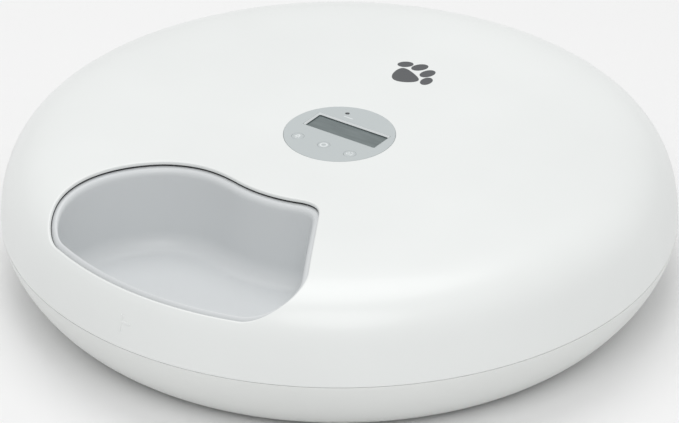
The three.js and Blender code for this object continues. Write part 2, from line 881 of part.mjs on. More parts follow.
function pinionShaft() {
  const highZ = hubFloorZ + hubFloorWall + gap + shaftReach;
  return solid(drum(shaftRadius, floorTopZ + 2 * gap, highZ, 16));
}

// ---------------------------------------------------------------- food tray

function foodTray() {
  const deckTop = domeProfile(trayTopDepth, trayRimZ, collarInner, 7);
  const collarOuter = collarInner + collarWall;
  const deckUnder = domeProfile(trayTopDepth + trayWall, trayRimZ, collarOuter, 6).reverse();
  const shell = solid(turned([
    ...deckTop,
    [collarInner, seatZ],
    [ringOuterRadius, seatZ],
    [ringOuterRadius, seatZ + seatHeight],
    [collarOuter, seatZ + seatHeight],
    ...deckUnder,
  ]));
  const outline = openingShape().getPoints(10);
  const under = solid(turned([
    [0, 0],
    ...domeProfile(trayTopDepth + trayWall / 2, partingZ - 10, 0, 7),
  ]));
  const outer = pocketLoft(outline, trayWall, trayBottomZ);
  const inner = pocketLoft(outline, 0, pocketFloorZ);
  const outers = pocketAngles().map((azimuth) => solid(turnAbout(outer, azimuth)));
  const inners = pocketAngles().map((azimuth) => solid(turnAbout(inner, azimuth)));
  const slots = pocketAngles().map((azimuth) => solid(turnAbout(driveKey(keyPlay), azimuth)));
  return cut(join(shell, ...outers.map((pocket) => pocket.intersect(under))), ...inners, ...slots);
}

// One pocket's surface, from above the deck down a drafted wall and round a fillet to its floor.
function pocketLoft(outline, wall, floorZ) {
  const filletTop = floorZ + pocketFillet;
  const marginAt = (z) => pocketLip - wall + pocketDraft * (bodyHeight - z);
  const rings = [{ z: bodyHeight + 5, points: insetRing(outline, marginAt(bodyHeight + 5)) }];
  const turns = 2;
  for (let i = 0; i <= turns; i += 1) {
    const angle = (0.5 * Math.PI * i) / turns;
    const margin = marginAt(filletTop) + pocketFillet * (1 - Math.cos(angle));
    rings.push({ z: filletTop - pocketFillet * Math.sin(angle), points: insetRing(outline, margin) });
  }
  return lofted(rings.reverse(), openingCentre);
}

// ---------------------------------------------------------------- control panel

function controlPanel() {
  const disc = solid(turned([
    [0, plugUnderZ],
    [hubMouthRadius - panelFit, plugUnderZ],
    [hubMouthRadius - panelFit, panelUnderZ],
    [panelRadius, panelUnderZ],
    [panelRadius, bodyHeight - panelChamfer],
    [panelRadius - panelChamfer, bodyHeight],
    [0, bodyHeight],
  ]));
  const recess = roundedRectangle(
    windowSize.x + 2 * gap, windowSize.y + 2 * gap, windowCorner + gap, windowCentre);
  const sight = roundedRectangle(
    windowSize.x - 2 * windowLedge, windowSize.y - 2 * windowLedge, windowCorner, windowCentre);
  const lowZ = plugUnderZ - 1;
  const holes = [
    extruded(recess, windowTopZ - windowThickness - gap, bodyHeight + 1),
    extruded(sight, lowZ, bodyHeight),
    drumAt(lensCentre.x, lensCentre.y, lensRadius + gap, lowZ, bodyHeight + 1, 12),
    ...buttonPlaces.map((x) => drumAt(x, buttonY, buttonRadius + buttonPlay, lowZ, bodyHeight + 1, 16)),
  ].map(solid);
  const posts = [0, 140, 220].map((azimuth) => {
    const place = polar(azimuth, boardPostRing);
    return solid(drumAt(place.x, place.y, boardPostRadius, boardTopZ + gap, plugUnderZ + 1, 12));
  });
  return join(cut(disc, ...holes), ...posts);
}

function displayWindow() {
  const outline = roundedRectangle(windowSize.x, windowSize.y, windowCorner, windowCentre);
  return solid(extruded(outline, windowTopZ - windowThickness, windowTopZ));
}

function displayModule() {
  const highZ = plugUnderZ - gap;
  const half = windowSize.clone().multiplyScalar(0.5);
  return solid(block(
    windowCentre.x - half.x,
    windowCentre.x + half.x,
    windowCentre.y - half.y,
    windowCentre.y + half.y,
    highZ - displayThickness,
    highZ,
  ));
}

function controlBoard() {
  return solid(drum(boardRadius, boardTopZ - boardThickness, boardTopZ, 36));
}

function tactSwitch(x) {
  const lowZ = boardTopZ + gap;
  const half = switchSize / 2;
  const plungerTop = buttonLowZ() - buttonTravel - gap;
  return join(
    solid(block(x - half, x + half, buttonY - half, buttonY + half, lowZ, lowZ + switchHeight)),
    solid(drumAt(x, buttonY, plungerRadius, lowZ + switchHeight - gap, plungerTop, 12)),
  );
}

function buttonLowZ() {
  return plugUnderZ - gap - buttonFlangeHeight;
}

function buttonCap() {
  const lowZ = buttonLowZ();
  return solid(turned([
    [0, lowZ],
    [buttonRadius + buttonFlange, lowZ],
    [buttonRadius + buttonFlange, lowZ + buttonFlangeHeight],
    [buttonRadius, lowZ + buttonFlangeHeight],
    [buttonRadius, bodyHeight - buttonChamfer],
    [buttonRadius - buttonChamfer, bodyHeight],
    [0, bodyHeight],
  ], 16));
}

function statusLens() {
  const lowZ = boardTopZ + gap;
  return solid(turned([
    [0, lowZ],
    [lensRadius, lowZ],
    [lensRadius, bodyHeight - lensRadius / 2],
    [lensRadius * 0.7, bodyHeight - lensRadius / 10],
    [0, bodyHeight],
  ], 12));
}

function sounder() {
  const highZ = boardTopZ - boardThickness - gap;
  const lowZ = highZ - sounderHeight;
  return solid(turned([
    [0, lowZ + sounderMouthDepth],
    [sounderMouthRadius, lowZ + sounderMouthDepth],
    [sounderMouthRadius, lowZ],
    [sounderRadius, lowZ],
    [sounderRadius, highZ],
    [0, highZ],
  ], 20));
}

// ---------------------------------------------------------------- batteries

function cell() {
  const half = (cellLength + cellNub) / 2;
  return solid(turned([
    [0, -half],
    [cellRadius - cellChamfer, -half],
    [cellRadius, -half + cellChamfer],
    [cellRadius, half - cellNub - cellChamfer],
    [cellRadius - cellChamfer, half - cellNub],
    [cellNubRadius, half - cellNub],
    [cellNubRadius, half],
    [0, half],
  ], 16));
}

function contactPlate(y) {
  const half = bayHalfWidth - contactInset;
  const lowZ = cellZ - contactHeight / 2;
  return solid(block(-half, half, y, y + contactThickness, lowZ, lowZ + contactHeight));
}

// ---------------------------------------------------------------- the feeder

const feeder = new THREE.Group();

function place(name, manifold, material, x = 0, y = 0, z = 0) {
  const mesh = new THREE.Mesh(geometryOf(manifold), material);
  mesh.name = name;
  mesh.position.set(x, y, z);
  feeder.add(mesh);
  return mesh;
}

function addShells() {
  place('base_shell', baseShell(), shellWhite());
  place('lid_shell', lidShell(), shellWhite());
  place('deck_plate', deckPlate(), innerGrey());
  place('hub_housing', hubHousing(), innerGrey());
  place('food_tray', foodTray(), trayGrey());
  footPlaces().forEach(([x, y], i) => place(`rubber_foot_${i}`, rubberFoot(), rubberBlack(), x, y));
}

function addDrive() {
  place('drive_ring', driveRing(), gearWhite());
  place('drive_pinion', drivePinion(), gearWhite(), pinionPlace.x, pinionPlace.y);
  place('pinion_shaft', pinionShaft(), steel(), pinionPlace.x, pinionPlace.y);
  place('gearbox', gearbox(), innerGrey());
  place('motor_can', motorCan(), steel());
  pocketAngles().forEach((azimuth, i) => place(`index_magnet_${i + 1}`, indexMagnet(azimuth), steel()));
  place('index_sensor', indexSensor(), rubberBlack());
}

function addScrewSet(name, places, headTopZ, length) {
  places.forEach(([x, y], i) => place(`${name}_${i + 1}`, screw(headTopZ, length), screwSteel(), x, y));
}

function addScrews() {
  const hubHeadZ = hubFloorZ + hubFloorWall + gap + screwHeadHeight;
  const earHeadZ = hubHeadZ + earThickness + gap;
  addScrewSet('hub_screw', hubScrewPlaces(), hubHeadZ, longScrew);
  addScrewSet('deck_screw', deckPostPlaces(), deckTopZ, longScrew);
  addScrewSet('motor_screw', earPlaces(), earHeadZ, shortScrew);
}

function addPanel() {
  const names = ['left', 'middle', 'right'];
  place('control_panel', controlPanel(), panelGrey());
  place('display_window', displayWindow(), plastic(0x7d8a8b, 0.12));
  place('display_module', displayModule(), plastic(0x4f5a55, 0.3));
  place('control_board', controlBoard(), plastic(0x1f6b3f, 0.5));
  place('status_lens', statusLens(), plastic(0x202224, 0.2), lensCentre.x, lensCentre.y);
  place('sounder', sounder(), rubberBlack());
  buttonPlaces.forEach((x, i) => {
    place(`button_${names[i]}`, buttonCap(), panelGrey(), x, buttonY);
    place(`tact_switch_${names[i]}`, tactSwitch(x), rubberBlack());
  });
}

function addBatteries() {
  place('battery_door', batteryDoor(), shellWhite());
  place('contact_front', contactPlate(bayFrontY + gap), steel());
  place('contact_rear', contactPlate(bayRearY - gap - contactThickness), steel());
  for (let i = 0; i < cellCount; i += 1) {
    const mesh = place(`battery_cell_${i + 1}`, cell(), steel());
    mesh.position.set((i - (cellCount - 1) / 2) * cellPitch, bayCentreY, cellZ);
    mesh.rotation.x = (i % 2 ? 0.5 : -0.5) * Math.PI;
  }
}

addShells();
addDrive();
addScrews();
addPanel();
addBatteries();

export default feeder;
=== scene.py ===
"""Automatic pet feeder: the looks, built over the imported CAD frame.

Sizes are in millimetres, except where a comment says otherwise.
"""

import json
import math

import bmesh
import bpy
import numpy as np
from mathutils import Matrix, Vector
from mathutils.geometry import delaunay_2d_cdt


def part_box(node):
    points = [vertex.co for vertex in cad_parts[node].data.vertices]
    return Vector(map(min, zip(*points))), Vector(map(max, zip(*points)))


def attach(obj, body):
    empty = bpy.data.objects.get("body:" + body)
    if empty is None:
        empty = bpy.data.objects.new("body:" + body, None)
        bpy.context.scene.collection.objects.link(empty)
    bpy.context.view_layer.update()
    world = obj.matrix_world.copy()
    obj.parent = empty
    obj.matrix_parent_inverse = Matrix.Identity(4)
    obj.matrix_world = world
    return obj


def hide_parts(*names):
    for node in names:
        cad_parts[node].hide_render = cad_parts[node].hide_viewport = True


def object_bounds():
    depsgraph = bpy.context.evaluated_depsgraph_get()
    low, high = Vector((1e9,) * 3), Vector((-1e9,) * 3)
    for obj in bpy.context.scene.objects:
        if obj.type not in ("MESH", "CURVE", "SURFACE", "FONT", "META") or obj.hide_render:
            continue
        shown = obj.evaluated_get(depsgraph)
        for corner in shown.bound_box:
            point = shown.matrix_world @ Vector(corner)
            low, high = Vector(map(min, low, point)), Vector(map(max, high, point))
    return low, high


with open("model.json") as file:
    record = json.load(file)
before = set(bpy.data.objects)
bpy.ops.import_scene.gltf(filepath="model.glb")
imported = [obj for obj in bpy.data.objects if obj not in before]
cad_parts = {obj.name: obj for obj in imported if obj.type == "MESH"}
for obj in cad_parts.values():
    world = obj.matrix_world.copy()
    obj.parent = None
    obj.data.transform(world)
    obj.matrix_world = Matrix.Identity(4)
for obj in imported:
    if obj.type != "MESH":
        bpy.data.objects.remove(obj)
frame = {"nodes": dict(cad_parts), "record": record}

cad_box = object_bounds()

MM = 0.001

# ------------------------------------------------------------------ driving sizes

# The outer form, and the share of the radius at which its profile's samples get closer.
BODY_RADIUS = cad_box[1].x / MM
BODY_HEIGHT = cad_box[1].z / MM
PARTING_Z = 41.0
PARTING_GAP = 0.16
FOOT_RADIUS = 157.3
FOOT_CHAMFER = 3.6
DOME_RADIAL_POWER = 11.6
DOME_HEIGHT_POWER = 2.17
BOWL_POWER = 1.445
PROFILE_SPLIT = 0.7

# The lid, its lugs, its alignment mark, and a dark strip under the opening's edge that paints the shade
# in the gap over the tray.
LID_WALL = 2.4
LID_CLEARANCE = 1.0
PANEL_GAP = 0.1
SEAT_GAP = 0.05
LUG_WIDTH = 12.0
LUG_HEIGHT = 4.0
LUG_SINK = 0.9
LUG_REACH = 2.8
LUG_ROUND = 0.4
LUG_AZIMUTHS = (45, 135, 225, 315)
MARK_RADIUS = 188.6
MARK_AZIMUTH = -3.6
MARK_DEPTH = 0.35
MARK_RISE = 0.3
MARK_ROUND = 0.25
MARK_STEM = (-0.55, 0.55, -5.4, 4.6)
MARK_BAR = (0.2, 6.4, -0.2, 1.1)
SHADE_STRIP_SETBACK = 0.7
SHADE_STRIP_WIDTH = 3.0
SHADE_STRIP_THICKNESS = 0.72

# The food tray and its pockets.
TRAY_DEPTH = LID_WALL + LID_CLEARANCE
TRAY_WALL = 2.0
TRAY_RIM_Z = 54.0
COLLAR_CLEARANCE = 1.5
TRAY_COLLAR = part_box("hub_housing")[1].x / MM + COLLAR_CLEARANCE
COLLAR_WALL = 2.4
COLLAR_ROUND = 1.2
SEAT_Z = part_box("food_tray")[0].z / MM
SEAT_HEIGHT = 2.6
SEAT_ROUND = 0.5
SEAT_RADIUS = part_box("drive_ring")[1].x / MM
POCKETS = 5
POCKET_PITCH = 360 / POCKETS
POCKET_MOUTH_Z = 80.0
POCKET_FLOOR_Z = 39.0
POCKET_LIP = 2.6
POCKET_DRAFT = 0.08
POCKET_FILLET = 11.0
LIP_ROUND = 4.2

# The base, the battery door's recess in it and the feet under it.
BASE_WALL = 3.0
BASE_ROUND = 0.4
NOTCH_PLAY = 1.0
NOTCH_REACH = 3.0
CUT_OVERRUN = 2.0
CUTTER_ROUND = 0.05
GROUND_CLEARANCE = 1.6
RIM_OUTER = 187.0
RIM_INNER = 184.4
LEDGE_RADIUS = 178.0
LEDGE_Z = 31.7
LEDGE_FOOT_Z = 22.0
DOOR_TRAVEL = 7.0
DOOR_TONGUE = 1.2
DOOR_PLAY = 0.4
FEET = 5
FOOT_RECESS = 2.6
FOOT_PLAY = 0.3
FOOT_DIMPLE_RADIUS = 4.0
FOOT_DIMPLE_DEPTH = 0.25
FOOT_DIMPLE_SLOPE = 0.4
FOOT_PAD_RADIUS = 9.2
FOOT_SIZE = 10.0
FOOT_ROUND = 0.3

# The hub.
HUB_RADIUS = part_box("hub_housing")[1].x / MM
HUB_WALL = 2.4
HUB_BORE = 16.0
HUB_MOUTH = 29.0
HUB_FLOOR_WALL = 2.7
HUB_ROUND = 0.9
SHAFT_PLAY = 0.5

# The control panel and what is in it.
PANEL_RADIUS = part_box("control_panel")[1].x / MM
PANEL_THICKNESS = 3.4
PANEL_ROUND = 0.12
FILM_ROUND = 0.05
LID_BORE = PANEL_RADIUS + PANEL_GAP
BEZEL_GAP = 0.15
BEZEL_RUN = 0.9
BEZEL_DROP = 0.9
BEZEL_EDGE = 0.15
BEZEL_CORNER = 0.8
BUTTON_GAP = 0.09
BUTTON_RADIUS = 3.5
BUTTON_FLANGE_RADIUS = 4.5
BUTTON_FLANGE = 0.8
BUTTON_SINK = 0.02
BUTTON_ROUND = 0.15
BUTTON_Y = -15.3
BUTTON_PITCH = 17.6
LENS_PLACE = (-9.8, 21.8)
LENS_RADIUS = 1.1
LENS_CROWN_RADIUS = 0.7
LENS_HOLE = 1.3
LENS_DEPTH = 6.0
LENS_SHOULDER_DROP = 0.25
LENS_CROWN_DROP = 0.05
LENS_ROUND = 0.1
LABEL = (-9.5, -3.5, 17.6, 18.3)
LABEL_CORNER = 0.3
PRINT_RISE = 0.04
PAW_SCALE = 1.35
PAW_LEAN = -25
PAW_PLACE = (-6.0, 81.0)

# The lid's opening.
OPENING_OUTER = 182.0
OPENING_INNER = 76.5
OPENING_CENTRE = np.array([-8.0, -126.0])

# Lights, floor and camera: places and lengths in metres, angles in degrees, power in watts.
WORLD_LEVEL = 0.62
LIGHT_TARGET = (0, 0, 0.05)
KEY_PLACE = (-0.5, 0.5, 2.4)
KEY_SIZE = 1.8
KEY_POWER = 18.0
FILL_PLACE = (0.9, -1.3, 2.2)
FILL_SIZE = 1.6
FILL_POWER = 15.0
FLOOR_TONE = 0.89
FLOOR_HALF = 6.0
CAMERA_LENS_MM = 302.0
CAMERA_SENSOR_MM = 36.0
CAMERA_ELEVATION = 30.04
CAMERA_AZIMUTH = 35.0
CAMERA_DISTANCE = 3.2
CAMERA_TARGET = (0, 0, 0.03995)

# How fine the meshes are: points on a ring, steps of a curve, and the spacing of a patch's points.
RING_POINTS = 288
HUB_POINTS = 192
SMALL_RING_POINTS = 64
LENS_POINTS = 32
OUTLINE_POINTS = 360
ROUND_STEPS = 8
BOWL_STEPS = 46
LID_SPACING = 4.2
TRAY_SPACING = 5.0

# Angles in degrees. An edge sharper than the first three keeps its crease, and a corner of a profile
# that opens wider than the last is left without a round.
SHARP_ANGLE = 40
BEZEL_SHARP_ANGLE = 25
CUT_SHARP_ANGLE = 32
FLAT_BEND = 155

# ------------------------------------------------------------------ curves of the body


def dome_samples():
    """Radius, height and outward normal along the upper profile, with its length from the middle."""
    flat = np.linspace(0.0, PROFILE_SPLIT, 200)[:-1]
    start = math.acos(PROFILE_SPLIT ** (DOME_RADIAL_POWER / 2))
    rim = np.cos(np.linspace(start, 0.0, 1400)) ** (2 / DOME_RADIAL_POWER)
    share = np.concatenate([flat, rim])
    r = BODY_RADIUS * share
    rise = np.clip(1 - share**DOME_RADIAL_POWER, 0, 1) ** (1 / DOME_HEIGHT_POWER)
    z = PARTING_Z + (BODY_HEIGHT - PARTING_Z) * rise
    length = np.concatenate([[0], np.cumsum(np.hypot(np.diff(r), np.diff(z)))])
    dr, dz = np.gradient(r, length), np.gradient(z, length)
    size = np.hypot(dr, dz)
    return length, r, z, -dz / size, dr / size


DOME_U, DOME_R, DOME_Z, DOME_NR, DOME_NZ = dome_samples()


def u_at_radius(r):
    return np.interp(r, DOME_R, DOME_U)


def u_at_height(z):
    return float(np.interp(-z, -DOME_Z, DOME_U))


def dome(flat, depth):
    """Points and outward normals under the dome's surface. flat holds (length, angle) pairs laid out
    as a plane: a point's distance from the middle is its length along the surface."""
    flat = np.asarray(flat, float)
    u = np.hypot(flat[:, 0], flat[:, 1])
    direction = flat / np.maximum(u, 1e-9)[:, None]
    nr, nz = np.interp(u, DOME_U, DOME_NR), np.interp(u, DOME_U, DOME_NZ)
    r = np.interp(u, DOME_U, DOME_R) - depth * nr
    z = np.interp(u, DOME_U, DOME_Z) - depth * nz
    points = np.column_stack([direction * r[:, None], z])
    normals = np.column_stack([direction * nr[:, None], nz])
    return points, normals


def laid_flat(plan):
    """Plan positions as laid-out (length, angle) positions."""
    r = np.hypot(plan[:, 0], plan[:, 1])
    return plan * (u_at_radius(r) / r)[:, None]


def circle(radius, count=RING_POINTS):
    angle = np.arange(count) * 2 * math.pi / count
    return np.column_stack([radius * np.cos(angle), radius * np.sin(angle)])


def bowl(count):
    """The lower profile as (radius, height) pairs, from the parting line down to the foot."""
    t = np.linspace(0.04, 1, count) * math.pi / 2
    r = FOOT_RADIUS + (BODY_RADIUS - FOOT_RADIUS) * np.cos(t) ** (2 / BOWL_POWER)
    z = PARTING_Z - PARTING_Z * np.sin(t) ** (2 / BOWL_POWER)
    return [(a, b) for a, b in zip(r, z) if GROUND_CLEARANCE < b < PARTING_Z - PARTING_GAP]


# ------------------------------------------------------------------ the opening's outline


def cubic(a, b, c, d, count=60):
    t = np.linspace(0, 1, count)[:, None]
    a, b, c, d = (np.array(p, float) for p in (a, b, c, d))
    return (1 - t) ** 3 * a + 3 * t * (1 - t) ** 2 * b + 3 * t**2 * (1 - t) * c + t**3 * d


def hub_arc(radius, first, last, count=80):
    """An arc about the hub. Azimuths are degrees from the front, positive towards +X."""
    angle = np.radians(np.linspace(first, last, count))
    return np.column_stack([radius * np.sin(angle), -radius * np.cos(angle)])


def evenly(points, count):
    """A closed outline as points at even steps of its length."""
    closed = np.vstack([points, points[:1]])
    length = np.concatenate([[0], np.cumsum(np.linalg.norm(np.diff(closed, axis=0), axis=1))])
    at = np.arange(count) * length[-1] / count
    return np.column_stack([np.interp(at, length, closed[:, k]) for k in (0, 1)])


def opening_outline():
    """Two arcs about the hub, a straight right side, and a left side that swells outwards."""
    outer = hub_arc(OPENING_OUTER, -22.6, 18)
    inner = hub_arc(OPENING_INNER, 18, -13)
    parts = [
        outer,
        cubic(outer[-1], (72, -167), (80.5, -150), (72.1, -132.4)),
        cubic((72.1, -132.4), (62.2, -115.1), (52.4, -97.8), (42.5, -80.5), 20),
        cubic((42.5, -80.5), (38.5, -73.5), (33.5, -69.6), inner[0]),
        inner,
        cubic(inner[-1], (-32, -71.2), (-45, -70.8), (-60.7, -80.5)),
        cubic((-60.7, -80.5), (-78, -93), (-90.5, -114), (-90.5, -136.1)),
        cubic((-90.5, -136.1), (-90.3, -149), (-83.5, -163.5), outer[0]),
    ]
    return evenly(np.vstack([part[:-1] for part in parts]), OUTLINE_POINTS)


OUTLINE = opening_outline()


def inside(points, outline):
    """Which points lie inside a closed outline."""
    a, b = outline, np.roll(outline, -1, axis=0)
    x, y = points[:, 0][:, None], points[:, 1][:, None]
    crosses = (a[:, 1] > y) != (b[:, 1] > y)
    rise = np.where(b[:, 1] == a[:, 1], 1e-12, b[:, 1] - a[:, 1])
    left = x < (b[:, 0] - a[:, 0]) * (y - a[:, 1]) / rise + a[:, 0]
    return (crosses & left).sum(axis=1) % 2 == 1


def outline_distance(points):
    a = OUTLINE
    edge = np.roll(OUTLINE, -1, axis=0) - a
    along = ((points[:, None, :] - a) * edge).sum(axis=2) / (edge**2).sum(axis=1)
    foot = a + edge * np.clip(along, 0, 1)[:, :, None]
    return np.linalg.norm(points[:, None, :] - foot, axis=2).min(axis=1)


def inset_ring(margin):
    """The outline drawn in by a margin, as points at even angles about the opening's centre."""
    angle = np.arange(RING_POINTS) * 2 * math.pi / RING_POINTS
    ray = np.column_stack([np.cos(angle), np.sin(angle)])
    near, far = np.zeros(RING_POINTS), np.full(RING_POINTS, BODY_RADIUS)
    for _ in range(18):
        middle = (near + far) / 2
        points = OPENING_CENTRE + ray * middle[:, None]
        clear = inside(points, OUTLINE) & (outline_distance(points) >= margin)
        near, far = np.where(clear, middle, near), np.where(clear, far, middle)
    return OPENING_CENTRE + ray * near[:, None]


def turned_by(points, azimuth):
    a = math.radians(azimuth)
    turn = np.array([[math.cos(a), math.sin(a)], [-math.sin(a), math.cos(a)]])
    out = np.array(points, float)
    out[:, :2] = out[:, :2] @ turn
    return out


# ------------------------------------------------------------------ mesh building


class Shell:
    """Collects patches and grids of points, then makes one mesh with smooth analytic normals."""

    def __init__(self):
        self.points, self.normals, self.faces, self.count = [], [], [], 0

    def add(self, points, normals, faces):
        self.points.append(np.asarray(points, float))
        self.normals.append(np.asarray(normals, float))
        self.faces += [tuple(int(i) + self.count for i in face) for face in faces]
        self.count += len(points)

    def add_grid(self, rows, outward):
        """Closed rings of equal counts, joined in order. Normals come from the grid itself, and
        outward says roughly where they point on the first ring."""
        grid = np.asarray(rows, float)
        across = np.roll(grid, -1, axis=1) - np.roll(grid, 1, axis=1)
        along = np.gradient(grid, axis=0)
        normal = np.cross(across, along)
        flip = (normal[0] * outward).sum() < 0
        normal *= -1 if flip else 1
        normal /= np.maximum(np.linalg.norm(normal, axis=2), 1e-12)[:, :, None]
        count = grid.shape[1]
        faces = []
        for k in range(grid.shape[0] - 1):
            for i in range(count):
                j = (i + 1) % count
                quad = (k * count + i, k * count + j, (k + 1) * count + j, (k + 1) * count + i)
                faces.append(quad[::-1] if flip else quad)
        self.add(grid.reshape(-1, 3), normal.reshape(-1, 3), faces)

    def mesh(self, name):
        """One mesh. Points that lie together are merged and their normals averaged."""
        points = np.vstack(self.points)
        normals = np.vstack(self.normals)
        _, first, same = np.unique(
            np.round(points, 3), axis=0, return_index=True, return_inverse=True)
        same = same.ravel()
        total = np.zeros((len(first), 3))
        np.add.at(total, same, normals)
        total /= np.maximum(np.linalg.norm(total, axis=1), 1e-12)[:, None]
        faces = []
        for face in self.faces:
            kept = list(dict.fromkeys(int(same[i]) for i in face))
            if len(kept) > 2:
                faces.append(kept)
        data = bpy.data.meshes.new(name)
        data.from_pydata((points[first] * MM).tolist(), [], faces)
        data.polygons.foreach_set("use_smooth", [True] * len(data.polygons))
        data.normals_split_custom_set_from_vertices(total.tolist())
        data.update()
        return data


def patch(boundaries, holes, spacing):
    """Triangles over a laid-out area. The first boundary is its outer edge."""
    outer = np.hypot(*boundaries[0].T).mean()
    points = list(boundaries)
    edges, start = [], 0
    for ring in boundaries:
        edges += [(start + i, start + (i + 1) % len(ring)) for i in range(len(ring))]
        start += len(ring)
    inner = min(np.hypot(*ring.T).min() for ring in boundaries[1:])
    for radius in np.arange(inner + spacing, outer - spacing / 2, spacing):
        count = int(2 * math.pi * radius / spacing / 1.3)
        ring = circle(radius, count)
        for hole in boundaries[1:]:
            gap = np.linalg.norm(ring[:, None, :] - hole, axis=2).min(axis=1)
            ring = ring[~inside(ring, hole) & (gap > spacing / 2)]
        points.append(ring)
    flat = np.vstack(points)
    made = delaunay_2d_cdt([Vector(p) for p in flat], edges, [], 0, 1e-6)
    flat = np.array([tuple(v) for v in made[0]])
    faces = np.array([f for f in made[2] if len(f) == 3])
    centre = flat[faces].mean(axis=1)
    keep = inside(centre, boundaries[0])
    for hole in holes:
        keep &= ~inside(centre, hole)
    faces = faces[keep]
    a, b, c = flat[faces[:, 0]], flat[faces[:, 1]], flat[faces[:, 2]]
    area = (b[:, 0] - a[:, 0]) * (c[:, 1] - a[:, 1]) - (b[:, 1] - a[:, 1]) * (c[:, 0] - a[:, 0])
    faces[area < 0] = faces[area < 0][:, ::-1]
    return flat, faces


def edge_round(shell, ring, depth, wall, inward, squareness):
    """Closes the wall along a laid-out ring with a rounded edge that bulges away from the material.
    inward is +1 where the material lies outside the ring, and -1 where it lies inside. A squareness
    of 1 gives a half round, and a smaller one a squarer edge."""
    top, normal = dome(ring, depth)
    along = np.roll(top, -1, axis=0) - np.roll(top, 1, axis=0)
    away = np.cross(normal, along)
    away *= inward / np.linalg.norm(away, axis=1)[:, None]
    middle = top - normal * wall / 2
    rows = []
    for angle in np.linspace(0, math.pi, 2 * ROUND_STEPS + 1):
        up = math.copysign(abs(math.cos(angle)) ** squareness, math.cos(angle))
        out = abs(math.sin(angle)) ** squareness
        rows.append(middle + (normal * up + away * out) * wall / 2)
    shell.add_grid(rows, normal)


def offset_ring(ring, distance):
    """A laid-out ring moved outwards by a distance."""
    along = np.roll(ring, -1, axis=0) - np.roll(ring, 1, axis=0)
    out = np.column_stack([along[:, 1], -along[:, 0]])
    return ring + out / np.linalg.norm(out, axis=1)[:, None] * distance


def bevelled(profile, radius, steps=3):
    """A (radius, height) profile with each corner rounded, closed on itself."""
    points = [np.array(p, float) for p in profile]
    out = []
    for i, here in enumerate(points):
        before, after = points[i - 1], points[(i + 1) % len(points)]
        back, on = before - here, after - here
        a, b = np.linalg.norm(back), np.linalg.norm(on)
        bend = math.degrees(math.acos(np.clip(np.dot(back, on) / (a * b), -1, 1)))
        if here[0] < 1e-6 or bend > FLAT_BEND:
            out.append(here)
            continue
        cut = min(radius, a / 3, b / 3)
        p, q = here + back / a * cut, here + on / b * cut
        for t in np.linspace(0, 1, steps + 1):
            out.append((1 - t) ** 2 * p + 2 * t * (1 - t) * here + t**2 * q)
    return np.array(out)


def smoothed(data, sharp=SHARP_ANGLE):
    """Smooth shading, with edges above an angle kept sharp."""
    data.polygons.foreach_set("use_smooth", [True] * len(data.polygons))
    data.set_sharp_from_angle(angle=math.radians(sharp))
    return data


def finished(mesh, name, sharp=SHARP_ANGLE):
    """Turns a bmesh into smooth mesh data and frees it."""
    data = bpy.data.meshes.new(name)
    mesh.to_mesh(data)
    mesh.free()
    return smoothed(data, sharp)


def moved(data, x, y):
    """Moves a mesh sideways, in metres."""
    for vert in data.vertices:
        vert.co += Vector((x, y, 0))
    return data


def lathe_mesh(name, profile, count, radius):
    """A turned solid about +Z from a closed profile, with bevelled corners."""
    points = bevelled(profile, radius)
    mesh = bmesh.new()
    rows = []
    for r, z in points:
        if r < 1e-6:
            rows.append([mesh.verts.new((0, 0, z * MM))])
        else:
            rows.append([mesh.verts.new((x * MM, y * MM, z * MM)) for x, y in circle(r, count)])
    for k, row in enumerate(rows):
        other = rows[(k + 1) % len(rows)]
        for i in range(count):
            j = (i + 1) % count
            corners = [row[i % len(row)], row[j % len(row)]]
            corners += [other[j % len(other)], other[i % len(other)]]
            corners = list(dict.fromkeys(corners))
            if len(corners) > 2:
                mesh.faces.new(corners)
    bmesh.ops.recalc_face_normals(mesh, faces=mesh.faces)
    return finished(mesh, name)


def band_mesh(name, rings, sharp=SHARP_ANGLE):
    """A closed band from rings of equal point counts. The last ring joins the first."""
    mesh = bmesh.new()
    rows = [[mesh.verts.new(Vector(point) * MM) for point in ring] for ring in rings]
    for k, row in enumerate(rows):
        other = rows[(k + 1) % len(rows)]
        for i in range(len(row)):
            j = (i + 1) % len(row)
            mesh.faces.new((row[i], row[j], other[j], other[i]))
    bmesh.ops.recalc_face_normals(mesh, faces=mesh.faces)
    return finished(mesh, name, sharp)


def piece(name, data, body, material, *nodes):
    """Puts a mesh in the scene, riding on a CAD body and standing for the CAD nodes named.
    A material's name starts with the record's slot, up to its first point."""
    obj = bpy.data.objects.new(name, data)
    bpy.context.scene.collection.objects.link(obj)
    if not data.materials:
        data.materials.append(material)
    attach(obj, body)
    if nodes:
        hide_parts(*nodes)
    return obj


def cut_with(obj, cutters):
    """Cuts pieces out of an object and applies the cuts."""
    for cutter in cutters:
        tool = bpy.data.objects.new("cutter", cutter)
        bpy.context.scene.collection.objects.link(tool)
        modifier = obj.modifiers.new("cut", "BOOLEAN")
        modifier.operation = "DIFFERENCE"
        modifier.solver = "EXACT"
        modifier.object = tool
        graph = bpy.context.evaluated_depsgraph_get()
        cut = bpy.data.meshes.new_from_object(obj.evaluated_get(graph))
        obj.modifiers.clear()
        obj.data = cut
        bpy.data.objects.remove(tool)
    obj.data.set_sharp_from_angle(angle=math.radians(CUT_SHARP_ANGLE))


def drill(node, play, low_z, high_z):
    """A round cutter about a CAD node's own axis, wider than the node by the play."""
    low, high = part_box(node)
    reach = (high.x - low.x) / 2 / MM + play
    profile = [(0, low_z), (reach, low_z), (reach, high_z), (0, high_z)]
    data = lathe_mesh("drill", profile, SMALL_RING_POINTS, 0.01)
    middle = (low + high) / 2
    return moved(data, middle.x, middle.y)


# ------------------------------------------------------------------ materials


